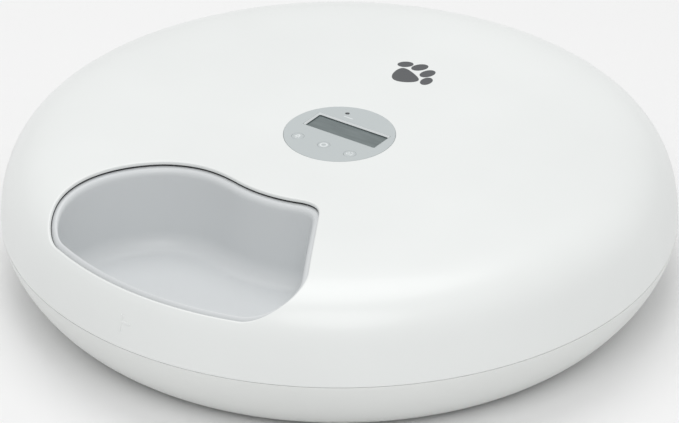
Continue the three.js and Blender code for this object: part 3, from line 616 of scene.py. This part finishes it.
class Nodes:
    """A material's node tree, with short calls for adding and joining nodes."""

    def __init__(self, name):
        self.material = bpy.data.materials.new(name)
        self.material.use_nodes = True
        self.tree = self.material.node_tree
        self.shader = self.tree.nodes["Principled BSDF"]
        self.place = self.add("ShaderNodeTexCoord").outputs["Object"]

    def add(self, kind, **settings):
        node = self.tree.nodes.new(kind)
        for key, value in settings.items():
            setattr(node, key, value)
        return node

    def join(self, source, target):
        self.tree.links.new(source, target)

    def noise(self, scale, detail=4.0, roughness=0.5):
        node = self.add("ShaderNodeTexNoise")
        node.inputs["Scale"].default_value = scale
        node.inputs["Detail"].default_value = detail
        node.inputs["Roughness"].default_value = roughness
        self.join(self.place, node.inputs["Vector"])
        return node.outputs["Fac"]

    def ramp(self, factor, low, high, dark, light):
        node = self.add("ShaderNodeValToRGB")
        node.color_ramp.elements[0].position = low
        node.color_ramp.elements[0].color = (*dark, 1)
        node.color_ramp.elements[1].position = high
        node.color_ramp.elements[1].color = (*light, 1)
        self.join(factor, node.inputs["Fac"])
        return node.outputs["Color"]

    def span(self, factor, low, high):
        node = self.add("ShaderNodeMapRange")
        node.inputs["To Min"].default_value = low
        node.inputs["To Max"].default_value = high
        self.join(factor, node.inputs["Value"])
        return node.outputs["Result"]

    def bump(self, height, strength, distance, before=None):
        node = self.add("ShaderNodeBump")
        node.inputs["Strength"].default_value = strength
        node.inputs["Distance"].default_value = distance
        self.join(height, node.inputs["Height"])
        if before is not None:
            self.join(before, node.inputs["Normal"])
        return node.outputs["Normal"]


def tint(colour, factor):
    return tuple(min(1.0, c * factor) for c in colour)


def moulded(name, colour, rough, grain=0.04, grain_scale=2600, coat=0.0, variation=0.02):
    """Moulded plastic: a fine spark-eroded grain, slow ripples, and faint handling marks."""
    nodes = Nodes(name)
    shader = nodes.shader
    cloud = nodes.noise(9, 3, 0.45)
    nodes.join(
        nodes.ramp(cloud, 0.3, 0.7, tint(colour, 1 - variation), tint(colour, 1 + variation)),
        shader.inputs["Base Color"])
    smudge = nodes.noise(38, 5, 0.62)
    nodes.join(nodes.span(smudge, rough * 0.86, rough * 1.16), shader.inputs["Roughness"])
    ripple = nodes.bump(nodes.noise(24, 2, 0.4), 0.05, 0.0004)
    fine = nodes.bump(nodes.noise(grain_scale, 2, 0.5), grain, 0.00008, ripple)
    nodes.join(fine, shader.inputs["Normal"])
    shader.inputs["Coat Weight"].default_value = coat
    shader.inputs["Coat Roughness"].default_value = 0.12
    shader.inputs["Specular IOR Level"].default_value = 0.5
    return nodes.material


def rubber(name):
    """Soft black rubber with a matt, slightly rough skin."""
    nodes = Nodes(name)
    nodes.join(
        nodes.ramp(nodes.noise(300, 4), 0.35, 0.7, (0.012, 0.012, 0.013), (0.03, 0.03, 0.032)),
        nodes.shader.inputs["Base Color"])
    nodes.join(nodes.span(nodes.noise(700, 3), 0.68, 0.9), nodes.shader.inputs["Roughness"])
    nodes.join(nodes.bump(nodes.noise(1500, 3), 0.3, 0.0001), nodes.shader.inputs["Normal"])
    return nodes.material


def brushed(name, colour, rough):
    """Bright metal with an uneven, lightly worn finish."""
    nodes = Nodes(name)
    nodes.shader.inputs["Metallic"].default_value = 1.0
    nodes.join(
        nodes.ramp(nodes.noise(160, 4), 0.3, 0.7, tint(colour, 0.85), tint(colour, 1.1)),
        nodes.shader.inputs["Base Color"])
    nodes.join(
        nodes.span(nodes.noise(900, 3), rough * 0.8, rough * 1.3), nodes.shader.inputs["Roughness"])
    nodes.join(nodes.bump(nodes.noise(1800, 2), 0.15, 0.00005), nodes.shader.inputs["Normal"])
    return nodes.material


def display_film(name):
    """The unlit display: a smooth slate film with faint streaks along its length."""
    nodes = Nodes(name)
    stretch = nodes.add("ShaderNodeMapping")
    stretch.inputs["Scale"].default_value = (0.18, 1.0, 1.0)
    nodes.join(nodes.place, stretch.inputs["Vector"])
    streaks = nodes.add("ShaderNodeTexNoise")
    streaks.inputs["Scale"].default_value = 420
    streaks.inputs["Detail"].default_value = 3
    nodes.join(stretch.outputs["Vector"], streaks.inputs["Vector"])
    nodes.join(
        nodes.ramp(streaks.outputs["Fac"], 0.3, 0.7, (0.14, 0.168, 0.17), (0.172, 0.203, 0.205)),
        nodes.shader.inputs["Base Color"])
    nodes.join(nodes.span(nodes.noise(60, 4), 0.16, 0.24), nodes.shader.inputs["Roughness"])
    nodes.join(nodes.bump(nodes.noise(500, 2), 0.05, 0.00005), nodes.shader.inputs["Normal"])
    return nodes.material


WHITE = moulded("shell_white", (0.84, 0.86, 0.85), 0.34, coat=0.12)
TRAY = moulded("tray_grey", (0.68, 0.70, 0.71), 0.36, grain=0.03)
PANEL = moulded("panel_grey", (0.52, 0.56, 0.565), 0.42, grain=0.08, grain_scale=3400)
INNER = moulded("inner_grey", (0.3, 0.32, 0.33), 0.5, grain=0.12)
GEAR = moulded("gear_white", (0.72, 0.69, 0.6), 0.42)
# The base's white is the shell's white made darker: painted shade for the lower half, which faces down
# and away from the light.
BASE_WHITE_SHADED = moulded("shell_white.base_shaded", (0.79, 0.805, 0.79), 0.4, coat=0.08)
BEZEL = moulded("panel_grey.bezel", (0.70, 0.73, 0.735), 0.4, grain=0.03)
PRINT = moulded("panel_grey.print", (0.75, 0.785, 0.79), 0.5, grain=0.02)
INK = moulded("print_grey", (0.09, 0.095, 0.1), 0.5, grain=0.02)
LENS = moulded("lens_dark", (0.045, 0.048, 0.052), 0.14, grain=0.01)
BOARD = moulded("board_green", (0.02, 0.12, 0.05), 0.45, grain=0.2)
RUBBER = rubber("rubber_black")
STEEL = brushed("part_steel", (0.55, 0.56, 0.57), 0.32)
DISPLAY = display_film("window_dark")

# ------------------------------------------------------------------ lid


def lid():
    """The dome: outer and inner skin over one layout, with rounded edges round every opening."""
    shell = Shell()
    edge = LID_WALL / 2
    opening = offset_ring(laid_flat(OUTLINE), edge)
    bore = circle(LID_BORE + edge)
    rim = circle(u_at_height(PARTING_Z + PARTING_GAP / 2) - edge)
    flat, faces = patch([rim, bore, opening], [bore, opening], LID_SPACING)
    top, normal = dome(flat, 0)
    under, _ = dome(flat, LID_WALL)
    shell.add(top, normal, faces)
    shell.add(under, -normal, faces[:, ::-1])
    edge_round(shell, opening, 0, LID_WALL, 1, squareness=0.8)
    edge_round(shell, bore, 0, LID_WALL, 1, squareness=0.3)
    edge_round(shell, rim, 0, LID_WALL, -1, squareness=0.4)
    piece("lid", shell.mesh("lid"), "lid", WHITE, "lid_shell")


def lid_shade_strip():
    """A thin dark band under the lid, set back from the opening's edge, that closes on the tray. It is
    painted shade for the gap between the lid and the tray.
    """
    near = offset_ring(laid_flat(OUTLINE), SHADE_STRIP_SETBACK)
    far = offset_ring(near, SHADE_STRIP_WIDTH)
    top = LID_WALL + SEAT_GAP
    low = top + SHADE_STRIP_THICKNESS
    rings = [dome(ring, depth)[0] for ring, depth in ((near, top), (near, low), (far, low), (far, top))]
    piece("lid_shade_strip", band_mesh("lid_shade_strip", rings), "lid", RUBBER)


def bar(x0, x1, y0, y1, z0, z1, bevel):
    """A block with bevelled edges, in millimetres."""
    mesh = bmesh.new()
    bmesh.ops.create_cube(mesh, size=1)
    for vert in mesh.verts:
        vert.co.x = (x0 + x1) / 2 + vert.co.x * (x1 - x0)
        vert.co.y = (y0 + y1) / 2 + vert.co.y * (y1 - y0)
        vert.co.z = (z0 + z1) / 2 + vert.co.z * (z1 - z0)
    bmesh.ops.bevel(
        mesh, geom=mesh.edges[:], offset=bevel, segments=3, profile=0.6, affect="EDGES")
    bmesh.ops.scale(mesh, vec=(MM, MM, MM), verts=mesh.verts)
    return finished(mesh, "bar")


def lid_details():
    """The locating lugs inside the rim, and the raised mark near the rim: a stem and a bar."""
    inner = BODY_RADIUS - LID_WALL
    low_z = PARTING_Z + PARTING_GAP
    half = LUG_WIDTH / 2
    for k, azimuth in enumerate(LUG_AZIMUTHS):
        data = bar(
            -half, half, -inner - LUG_SINK, -inner + LUG_REACH, low_z, low_z + LUG_HEIGHT, LUG_ROUND)
        turn(data, azimuth)
        piece(f"lid_lug_{k + 1}", data, "lid", WHITE)
    place = turned_by(np.array([[0.0, -MARK_RADIUS]]), MARK_AZIMUTH)
    point, normal = dome(laid_flat(place), 0)
    for name, shape in (("mark_stem", MARK_STEM), ("mark_bar", MARK_BAR)):
        data = bar(*shape, -MARK_DEPTH, MARK_RISE, MARK_ROUND)
        stand(data, point[0], normal[0])
        piece(name, data, "lid", WHITE)


def turn(data, azimuth):
    """Turns a mesh about +Z by an azimuth."""
    a = math.radians(azimuth)
    for vert in data.vertices:
        x, y = vert.co.x, vert.co.y
        vert.co.x, vert.co.y = x * math.cos(a) - y * math.sin(a), x * math.sin(a) + y * math.cos(a)


def stand(data, point, normal):
    """Moves a flat mesh on to a surface point, its +Z along the normal and its +Y uphill."""
    up = Vector(normal)
    side = Vector((0, 0, 1)).cross(up).normalized()
    uphill = up.cross(side)
    for vert in data.vertices:
        offset = side * vert.co.x + uphill * vert.co.y + up * vert.co.z
        vert.co = Vector(point) * MM + offset


# ------------------------------------------------------------------ food tray


def margin_at(z, wall):
    """How far a pocket's wall stands inside the lid's opening at a height."""
    return POCKET_LIP - wall + POCKET_DRAFT * (BODY_HEIGHT - z)


def lip_ring(wall, extra):
    """The pocket's mouth, laid out flat and drawn outwards by an extra."""
    return offset_ring(laid_flat(inset_ring(margin_at(POCKET_MOUTH_Z, wall))), extra)


def pocket_rows(shell_depth, wall, floor_z):
    """One pocket's rings, from its mouth in the deck down the wall and round to its floor."""
    mouth = dome(lip_ring(wall, LIP_ROUND), shell_depth)[0]
    corner = dome(lip_ring(wall, 0), shell_depth)[0]
    bottom = floor_z + POCKET_FILLET
    foot = np.column_stack([inset_ring(margin_at(bottom, wall)), np.full(RING_POINTS, bottom)])
    share = LIP_ROUND / (corner[:, 2] - bottom)
    below = corner + (foot - corner) * share[:, None]
    rows = [(1 - t) ** 2 * mouth + 2 * t * (1 - t) * corner + t**2 * below
            for t in np.linspace(0, 1, ROUND_STEPS + 1)]
    for t in np.linspace(0, 1, 9)[1:]:
        rows.append(below + (foot - below) * t)
    for angle in np.radians(np.linspace(0, 90, 13)[1:]):
        margin = margin_at(bottom, wall) + POCKET_FILLET * (1 - math.cos(angle))
        z = bottom - POCKET_FILLET * math.sin(angle)
        rows.append(np.column_stack([inset_ring(margin), np.full(RING_POINTS, z)]))
    floor = rows[-1]
    centre = np.append(OPENING_CENTRE, floor_z)
    for t in (0.75, 0.5, 0.25, 0.0):
        rows.append(centre + (floor - centre) * t)
    return rows


def tray_skin(shell, depth, wall, floor_z, inner_radius, flip):
    """The deck with its pockets, seen from one side."""
    mouth = lip_ring(wall, LIP_ROUND)
    mouths = [turned_by(mouth, POCKET_PITCH * k) for k in range(POCKETS)]
    rim = circle(u_at_height(TRAY_RIM_Z))
    bore = circle(inner_radius)
    flat, faces = patch([rim, bore, *mouths], [bore, *mouths], TRAY_SPACING)
    points, normals = dome(flat, depth)
    if flip:
        shell.add(points, -normals, faces[:, ::-1])
    else:
        shell.add(points, normals, faces)
    rows = pocket_rows(depth, wall, floor_z)
    outward = np.array([0, 0, -1 if flip else 1])
    for k in range(POCKETS):
        shell.add_grid([turned_by(row, POCKET_PITCH * k) for row in rows], outward)


def food_tray():
    """The deck with its pockets, and the collar in its middle that seats on the drive ring."""
    shell = Shell()
    outer_wall = COLLAR_WALL + TRAY_COLLAR
    edge = COLLAR_ROUND
    tray_skin(shell, TRAY_DEPTH, 0, POCKET_FLOOR_Z, TRAY_COLLAR + edge, False)
    under_z = POCKET_FLOOR_Z - TRAY_WALL
    tray_skin(shell, TRAY_DEPTH + TRAY_WALL, TRAY_WALL, under_z, outer_wall, True)
    edge_round(shell, circle(u_at_height(TRAY_RIM_Z)), TRAY_DEPTH, TRAY_WALL, -1, squareness=0.7)
    top_z = BODY_HEIGHT - TRAY_DEPTH
    corner = [(TRAY_COLLAR + edge * (1 - math.sin(a)), top_z - edge * (1 - math.cos(a)))
              for a in np.radians(np.linspace(0, 90, 7))]
    seat = bevelled([
        (TRAY_COLLAR, SEAT_Z), (SEAT_RADIUS, SEAT_Z),
        (SEAT_RADIUS, SEAT_Z + SEAT_HEIGHT), (outer_wall, SEAT_Z + SEAT_HEIGHT)], SEAT_ROUND)
    seat = seat[np.argmin(np.abs(seat[:, 0] - TRAY_COLLAR)):]
    profile = [*corner, *seat, (outer_wall, top_z - TRAY_WALL)]
    rows = [np.column_stack([circle(r), np.full(RING_POINTS, z)]) for r, z in profile]
    shell.add_grid(rows, np.array([0, 0, 1]))
    piece("food_tray_skin", shell.mesh("food_tray_skin"), "turntable", TRAY, "food_tray")


# ------------------------------------------------------------------ hub


def hub():
    """The round housing in the middle that carries the panel."""
    low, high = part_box("hub_housing")
    low_z, top_z = low.z / MM, high.z / MM
    floor_z = low_z + HUB_FLOOR_WALL
    profile = [
        (HUB_BORE, low_z), (HUB_RADIUS, low_z), (HUB_RADIUS, top_z), (HUB_MOUTH, top_z),
        (HUB_MOUTH, top_z - HUB_WALL), (HUB_RADIUS - HUB_WALL, top_z - HUB_WALL),
        (HUB_RADIUS - HUB_WALL, floor_z), (HUB_BORE, floor_z)]
    data = lathe_mesh("hub", profile, HUB_POINTS, HUB_ROUND)
    obj = piece("hub", data, "base", INNER, "hub_housing")
    cut_with(obj, [drill("pinion_shaft", SHAFT_PLAY, low_z - CUT_OVERRUN, floor_z + CUT_OVERRUN)])


# ------------------------------------------------------------------ base


def plain_bar(low, high, azimuth=0):
    """A cutter from its low corner to its high one, turned about +Z."""
    data = bar(low[0], high[0], low[1], high[1], low[2], high[2], CUTTER_ROUND)
    turn(data, azimuth)
    return data


def base():
    """The lower half, with the door's recess and grooves, the lid's notches and the feet's seats."""
    rim_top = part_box("base_shell")[1].z / MM
    top = PARTING_Z - PARTING_GAP / 2
    floor_z = GROUND_CLEARANCE + BASE_WALL
    profile = [
        (0, GROUND_CLEARANCE), (0, floor_z), (FOOT_RADIUS - BASE_WALL, floor_z),
        (LEDGE_RADIUS, LEDGE_FOOT_Z), (LEDGE_RADIUS, LEDGE_Z), (RIM_INNER, LEDGE_Z),
        (RIM_INNER, rim_top), (RIM_OUTER, rim_top), (RIM_OUTER, top), (BODY_RADIUS, top),
        *bowl(BOWL_STEPS), (FOOT_RADIUS + FOOT_CHAMFER, GROUND_CLEARANCE)]
    data = lathe_mesh("base", profile, RING_POINTS, BASE_ROUND)
    obj = piece("base", data, "base", BASE_WHITE_SHADED, "base_shell")
    door_low, door_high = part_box("battery_door")
    front_y = door_low.y / MM - DOOR_PLAY
    rear_y = door_high.y / MM + DOOR_TRAVEL + DOOR_PLAY
    tongue_x = door_high.x / MM + DOOR_PLAY
    slot_x = tongue_x - DOOR_TONGUE
    top_z = door_high.z / MM + DOOR_PLAY
    groove_z = (door_low.z + door_high.z) / 2 / MM - DOOR_PLAY
    cutters = [
        plain_bar((-slot_x, front_y, 0), (slot_x, rear_y, top_z)),
        plain_bar((-tongue_x, front_y, groove_z), (tongue_x, rear_y, top_z))]
    half = LUG_WIDTH / 2 + NOTCH_PLAY
    notch_low = (-half, -BODY_RADIUS, top)
    notch_high = (half, NOTCH_REACH - RIM_INNER, rim_top + CUT_OVERRUN)
    cutters += [plain_bar(notch_low, notch_high, azimuth) for azimuth in LUG_AZIMUTHS]
    cutters += [drill(f"rubber_foot_{k}", FOOT_PLAY, 0, FOOT_RECESS) for k in range(FEET)]
    cut_with(obj, cutters)


def rubber_feet():
    """Five round feet, each with a shallow dimple in its underside."""
    for k in range(FEET):
        low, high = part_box(f"rubber_foot_{k}")
        middle = (low + high) / 2
        height = (high.z - low.z) / MM
        profile = [
            (0, FOOT_DIMPLE_DEPTH), (FOOT_DIMPLE_RADIUS, FOOT_DIMPLE_DEPTH),
            (FOOT_DIMPLE_RADIUS + FOOT_DIMPLE_SLOPE, 0), (FOOT_PAD_RADIUS, 0),
            (FOOT_SIZE, FOOT_SIZE - FOOT_PAD_RADIUS), (FOOT_SIZE, height), (0, height)]
        data = lathe_mesh(f"foot_{k}", profile, SMALL_RING_POINTS, FOOT_ROUND)
        moved(data, middle.x, middle.y)
        piece(f"foot_{k}", data, "base", RUBBER, f"rubber_foot_{k}")


# ------------------------------------------------------------------ control panel


def flat_shape(name, outlines, low, high, bevel=0.0):
    """A flat plate between two heights, from an outline and the holes in it."""
    curve = bpy.data.curves.new(name, "CURVE")
    curve.dimensions = "2D"
    curve.fill_mode = "BOTH"
    curve.extrude = ((high - low) / 2 - bevel) * MM
    curve.bevel_depth = bevel * MM
    curve.bevel_resolution = 2
    curve.offset = -bevel * MM
    for outline in outlines:
        spline = curve.splines.new("POLY")
        spline.points.add(len(outline) - 1)
        for point, (x, y) in zip(spline.points, outline):
            point.co = (x * MM, y * MM, 0, 1)
        spline.use_cyclic_u = True
    holder = bpy.data.objects.new(name, curve)
    data = bpy.data.meshes.new_from_object(holder)
    bpy.data.objects.remove(holder)
    for vert in data.vertices:
        vert.co.z += (low + high) / 2 * MM
    return smoothed(data)


def round_at(x, y, radius, count=SMALL_RING_POINTS):
    return circle(radius, count) + np.array([x, y])


def rounded_rectangle(x0, x1, y0, y1, corner, steps=ROUND_STEPS):
    """A rectangle's outline with its corners as quarter circles."""
    points = []
    places = ((x1, y1, 0), (x0, y1, 90), (x0, y0, 180), (x1, y0, 270))
    for x, y, first in places:
        cx = x - corner if x == x1 else x + corner
        cy = y - corner if y == y1 else y + corner
        for angle in np.radians(np.linspace(first, first + 90, steps)):
            points.append((cx + corner * math.cos(angle), cy + corner * math.sin(angle)))
    return np.array(points)


def grown_rectangle(low, high, extra):
    """The outline of a node's box, grown by an extra on every side."""
    return rounded_rectangle(
        low.x / MM - extra, high.x / MM + extra, low.y / MM - extra, high.y / MM + extra, BEZEL_CORNER)


def display_bezel(low, high):
    """A pale sloping frame round the display, which ends in a thin edge clear of the film."""
    outer = grown_rectangle(low, high, BEZEL_GAP)
    inner = grown_rectangle(low, high, BEZEL_GAP - BEZEL_RUN)
    lip_z = BODY_HEIGHT - BEZEL_DROP
    under = lip_z - BEZEL_EDGE
    levels = ((outer, under), (outer, BODY_HEIGHT), (inner, lip_z), (inner, under))
    rings = [np.column_stack([ring, np.full(len(ring), z)]) for ring, z in levels]
    data = band_mesh("display_bezel", rings, BEZEL_SHARP_ANGLE)
    piece("display_bezel", data, "base", BEZEL)


def status_lens():
    """The small dark lens above the display, with a low crown."""
    profile = [
        (0, BODY_HEIGHT - LENS_DEPTH), (LENS_RADIUS, BODY_HEIGHT - LENS_DEPTH),
        (LENS_RADIUS, BODY_HEIGHT - LENS_SHOULDER_DROP),
        (LENS_CROWN_RADIUS, BODY_HEIGHT - LENS_CROWN_DROP), (0, BODY_HEIGHT)]
    dot = lathe_mesh("lens", profile, LENS_POINTS, LENS_ROUND)
    moved(dot, LENS_PLACE[0] * MM, LENS_PLACE[1] * MM)
    piece("lens", dot, "base", LENS, "status_lens")


def control_panel():
    """The round panel with its display, frame, lens and label."""
    low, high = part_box("display_window")
    window = grown_rectangle(low, high, 2 * BEZEL_GAP)
    holes = [round_at(k * BUTTON_PITCH, BUTTON_Y, BUTTON_RADIUS + BUTTON_GAP) for k in (-1, 0, 1)]
    lens = round_at(*LENS_PLACE, LENS_HOLE, LENS_POINTS)
    outlines = [circle(PANEL_RADIUS, HUB_POINTS), window, lens, *holes]
    plate = flat_shape("panel", outlines, BODY_HEIGHT - PANEL_THICKNESS, BODY_HEIGHT, PANEL_ROUND)
    piece("panel", plate, "base", PANEL, "control_panel")
    film = flat_shape(
        "display", [grown_rectangle(low, high, 0)], low.z / MM, high.z / MM, FILM_ROUND)
    piece("display", film, "base", DISPLAY, "display_window")
    display_bezel(low, high)
    status_lens()
    outline = rounded_rectangle(*LABEL, LABEL_CORNER)
    label = flat_shape("lens_label", [outline], BODY_HEIGHT, BODY_HEIGHT + PRINT_RISE)
    piece("lens_label", label, "base", PRINT)


def button_icons():
    """Generic signs for the three buttons: a bell, a ring, and a bowl with dots over it."""
    bell = np.array([
        (-1.9, -1.3), (1.9, -1.3), (1.4, -0.6), (1.3, 0.6), (0.8, 1.5), (0.25, 1.9), (-0.25, 1.9),
        (-0.8, 1.5), (-1.3, 0.6), (-1.4, -0.6)])
    bowl_sign = np.array([(-2.2, 0.1), (2.2, 0.1), (1.6, -1.6), (-1.6, -1.6)])
    return {
        "left": [[bell, circle(0.55, 24)], [round_at(0, -1.95, 0.45, 20)]],
        "middle": [[circle(2.35, 64), circle(1.35, 48)]],
        "right": [
            [bowl_sign, rounded_rectangle(-1.2, 1.2, -1.1, -0.5, 0.2)],
            [round_at(-1.1, 1.1, 0.5, 20)],
            [round_at(0.4, 1.5, 0.5, 20)],
            [round_at(1.5, 0.9, 0.4, 20)]],
    }


def buttons():
    """Three round caps with a flange under the panel, each with its own sign."""
    icons = button_icons()
    for k, name in zip((-1, 0, 1), ("left", "middle", "right")):
        x = k * BUTTON_PITCH
        low_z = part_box(f"button_{name}")[0].z / MM
        flange_z = low_z + BUTTON_FLANGE
        top_z = BODY_HEIGHT - BUTTON_SINK
        profile = [
            (0, low_z), (BUTTON_FLANGE_RADIUS, low_z), (BUTTON_FLANGE_RADIUS, flange_z),
            (BUTTON_RADIUS, flange_z), (BUTTON_RADIUS, top_z), (0, top_z)]
        cap = lathe_mesh(f"cap_{name}", profile, SMALL_RING_POINTS, BUTTON_ROUND)
        moved(cap, x * MM, BUTTON_Y * MM)
        piece(f"cap_{name}", cap, f"button_{name}", PANEL, f"button_{name}")
        for i, outlines in enumerate(icons[name]):
            placed = [outline + np.array([x, BUTTON_Y]) for outline in outlines]
            sign = flat_shape(f"icon_{name}_{i}", placed, BODY_HEIGHT, BODY_HEIGHT + PRINT_RISE)
            piece(f"icon_{name}_{i}", sign, f"button_{name}", PRINT)


def paw_print():
    """A generic paw in dark print on the lid: a pad and four toes."""
    def oval(x, y, rx, ry, lean):
        return turned_by(circle(1, 48) * np.array([rx, ry]), lean) + np.array([x, y])

    angle = np.linspace(0, 2 * math.pi, 90, endpoint=False)
    pad = np.column_stack([
        6.6 * np.cos(angle) * (1 + 0.12 * np.sin(angle)),
        5.0 * np.sin(angle) + 0.9 * np.cos(2 * angle) - 3.6])
    toes = [oval(-8.6, 1.6, 2.4, 3.4, -28), oval(-3.2, 5.4, 2.6, 3.8, -8),
            oval(3.2, 5.4, 2.6, 3.8, 8), oval(8.6, 1.6, 2.4, 3.4, 28)]
    for i, outline in enumerate([pad, *toes]):
        placed = turned_by(outline * PAW_SCALE, PAW_LEAN) + np.array(PAW_PLACE)
        data = flat_shape(f"paw_{i}", [placed], BODY_HEIGHT - SEAT_GAP, BODY_HEIGHT + PRINT_RISE)
        piece(f"paw_{i}", data, "lid", INK)


# ------------------------------------------------------------------ parts kept from the CAD


def finish_cad_parts():
    """Gives every CAD node that stays in view its own moulded or metal surface."""
    kinds = {
        "shell_white": WHITE, "tray_grey": TRAY, "panel_grey": PANEL, "inner_grey": INNER,
        "gear_white": GEAR, "rubber_black": RUBBER, "screw_steel": STEEL, "part_steel": STEEL,
        "window_dark": DISPLAY, "display_dark": DISPLAY, "board_green": BOARD, "lens_dark": LENS}
    for part in frame["record"]["subparts"]:
        obj = frame["nodes"][part["node"]]
        for slot in obj.material_slots:
            slot.material = kinds[part["material_slot"]]


# ------------------------------------------------------------------ stage


def plain(name, colour, rough):
    """A matt surface with barely any variation, for the floor."""
    nodes = Nodes(name)
    nodes.join(
        nodes.ramp(nodes.noise(3, 2), 0.3, 0.7, tint(colour, 0.995), tint(colour, 1.005)),
        nodes.shader.inputs["Base Color"])
    nodes.shader.inputs["Roughness"].default_value = rough
    nodes.shader.inputs["Specular IOR Level"].default_value = 0.1
    return nodes.material


def floor():
    """A plain pale floor, far wider than the view."""
    data = bpy.data.meshes.new("floor")
    half = FLOOR_HALF
    corners = [(-half, -half, 0), (half, -half, 0), (half, half, 0), (-half, half, 0)]
    data.from_pydata(corners, [], [(0, 1, 2, 3)])
    data.materials.append(plain("floor_pale", (FLOOR_TONE, FLOOR_TONE, FLOOR_TONE), 0.9))
    obj = bpy.data.objects.new("floor", data)
    bpy.context.scene.collection.objects.link(obj)


def soft_light(name, place, size, power):
    """A round area light aimed at the feeder."""
    light = bpy.data.lights.new(name, "AREA")
    light.shape = "DISK"
    light.size = size
    light.energy = power
    obj = bpy.data.objects.new(name, light)
    obj.location = place
    aim = Vector(LIGHT_TARGET) - Vector(place)
    obj.rotation_euler = aim.to_track_quat("-Z", "Y").to_euler()
    bpy.context.scene.collection.objects.link(obj)


def lights():
    """An even white surround, a key light from above and behind, and a fill from the front."""
    world = bpy.data.worlds.new("studio")
    world.use_nodes = True
    background = world.node_tree.nodes["Background"]
    background.inputs["Color"].default_value = (1.0, 1.0, 1.0, 1)
    background.inputs["Strength"].default_value = WORLD_LEVEL
    bpy.context.scene.world = world
    soft_light("key", KEY_PLACE, KEY_SIZE, KEY_POWER)
    soft_light("fill", FILL_PLACE, FILL_SIZE, FILL_POWER)
    bpy.context.scene.view_settings.view_transform = "Standard"


def camera():
    """A long lens from the front right, 30 degrees above the horizon."""
    data = bpy.data.cameras.new("camera")
    data.lens = CAMERA_LENS_MM
    data.sensor_width = CAMERA_SENSOR_MM
    data.clip_end = 30.0
    obj = bpy.data.objects.new("camera", data)
    elevation, azimuth = math.radians(CAMERA_ELEVATION), math.radians(CAMERA_AZIMUTH)
    back = Vector((
        math.sin(azimuth) * math.cos(elevation),
        -math.cos(azimuth) * math.cos(elevation),
        math.sin(elevation)))
    obj.location = Vector(CAMERA_TARGET) + back * CAMERA_DISTANCE
    obj.rotation_mode = "QUATERNION"
    obj.rotation_quaternion = (-back).to_track_quat("-Z", "Y")
    bpy.context.scene.collection.objects.link(obj)
    bpy.context.scene.camera = obj


camera()
floor()
lights()
finish_cad_parts()
lid()
lid_details()
lid_shade_strip()
food_tray()
hub()
base()
rubber_feet()
control_panel()
buttons()
paw_print()
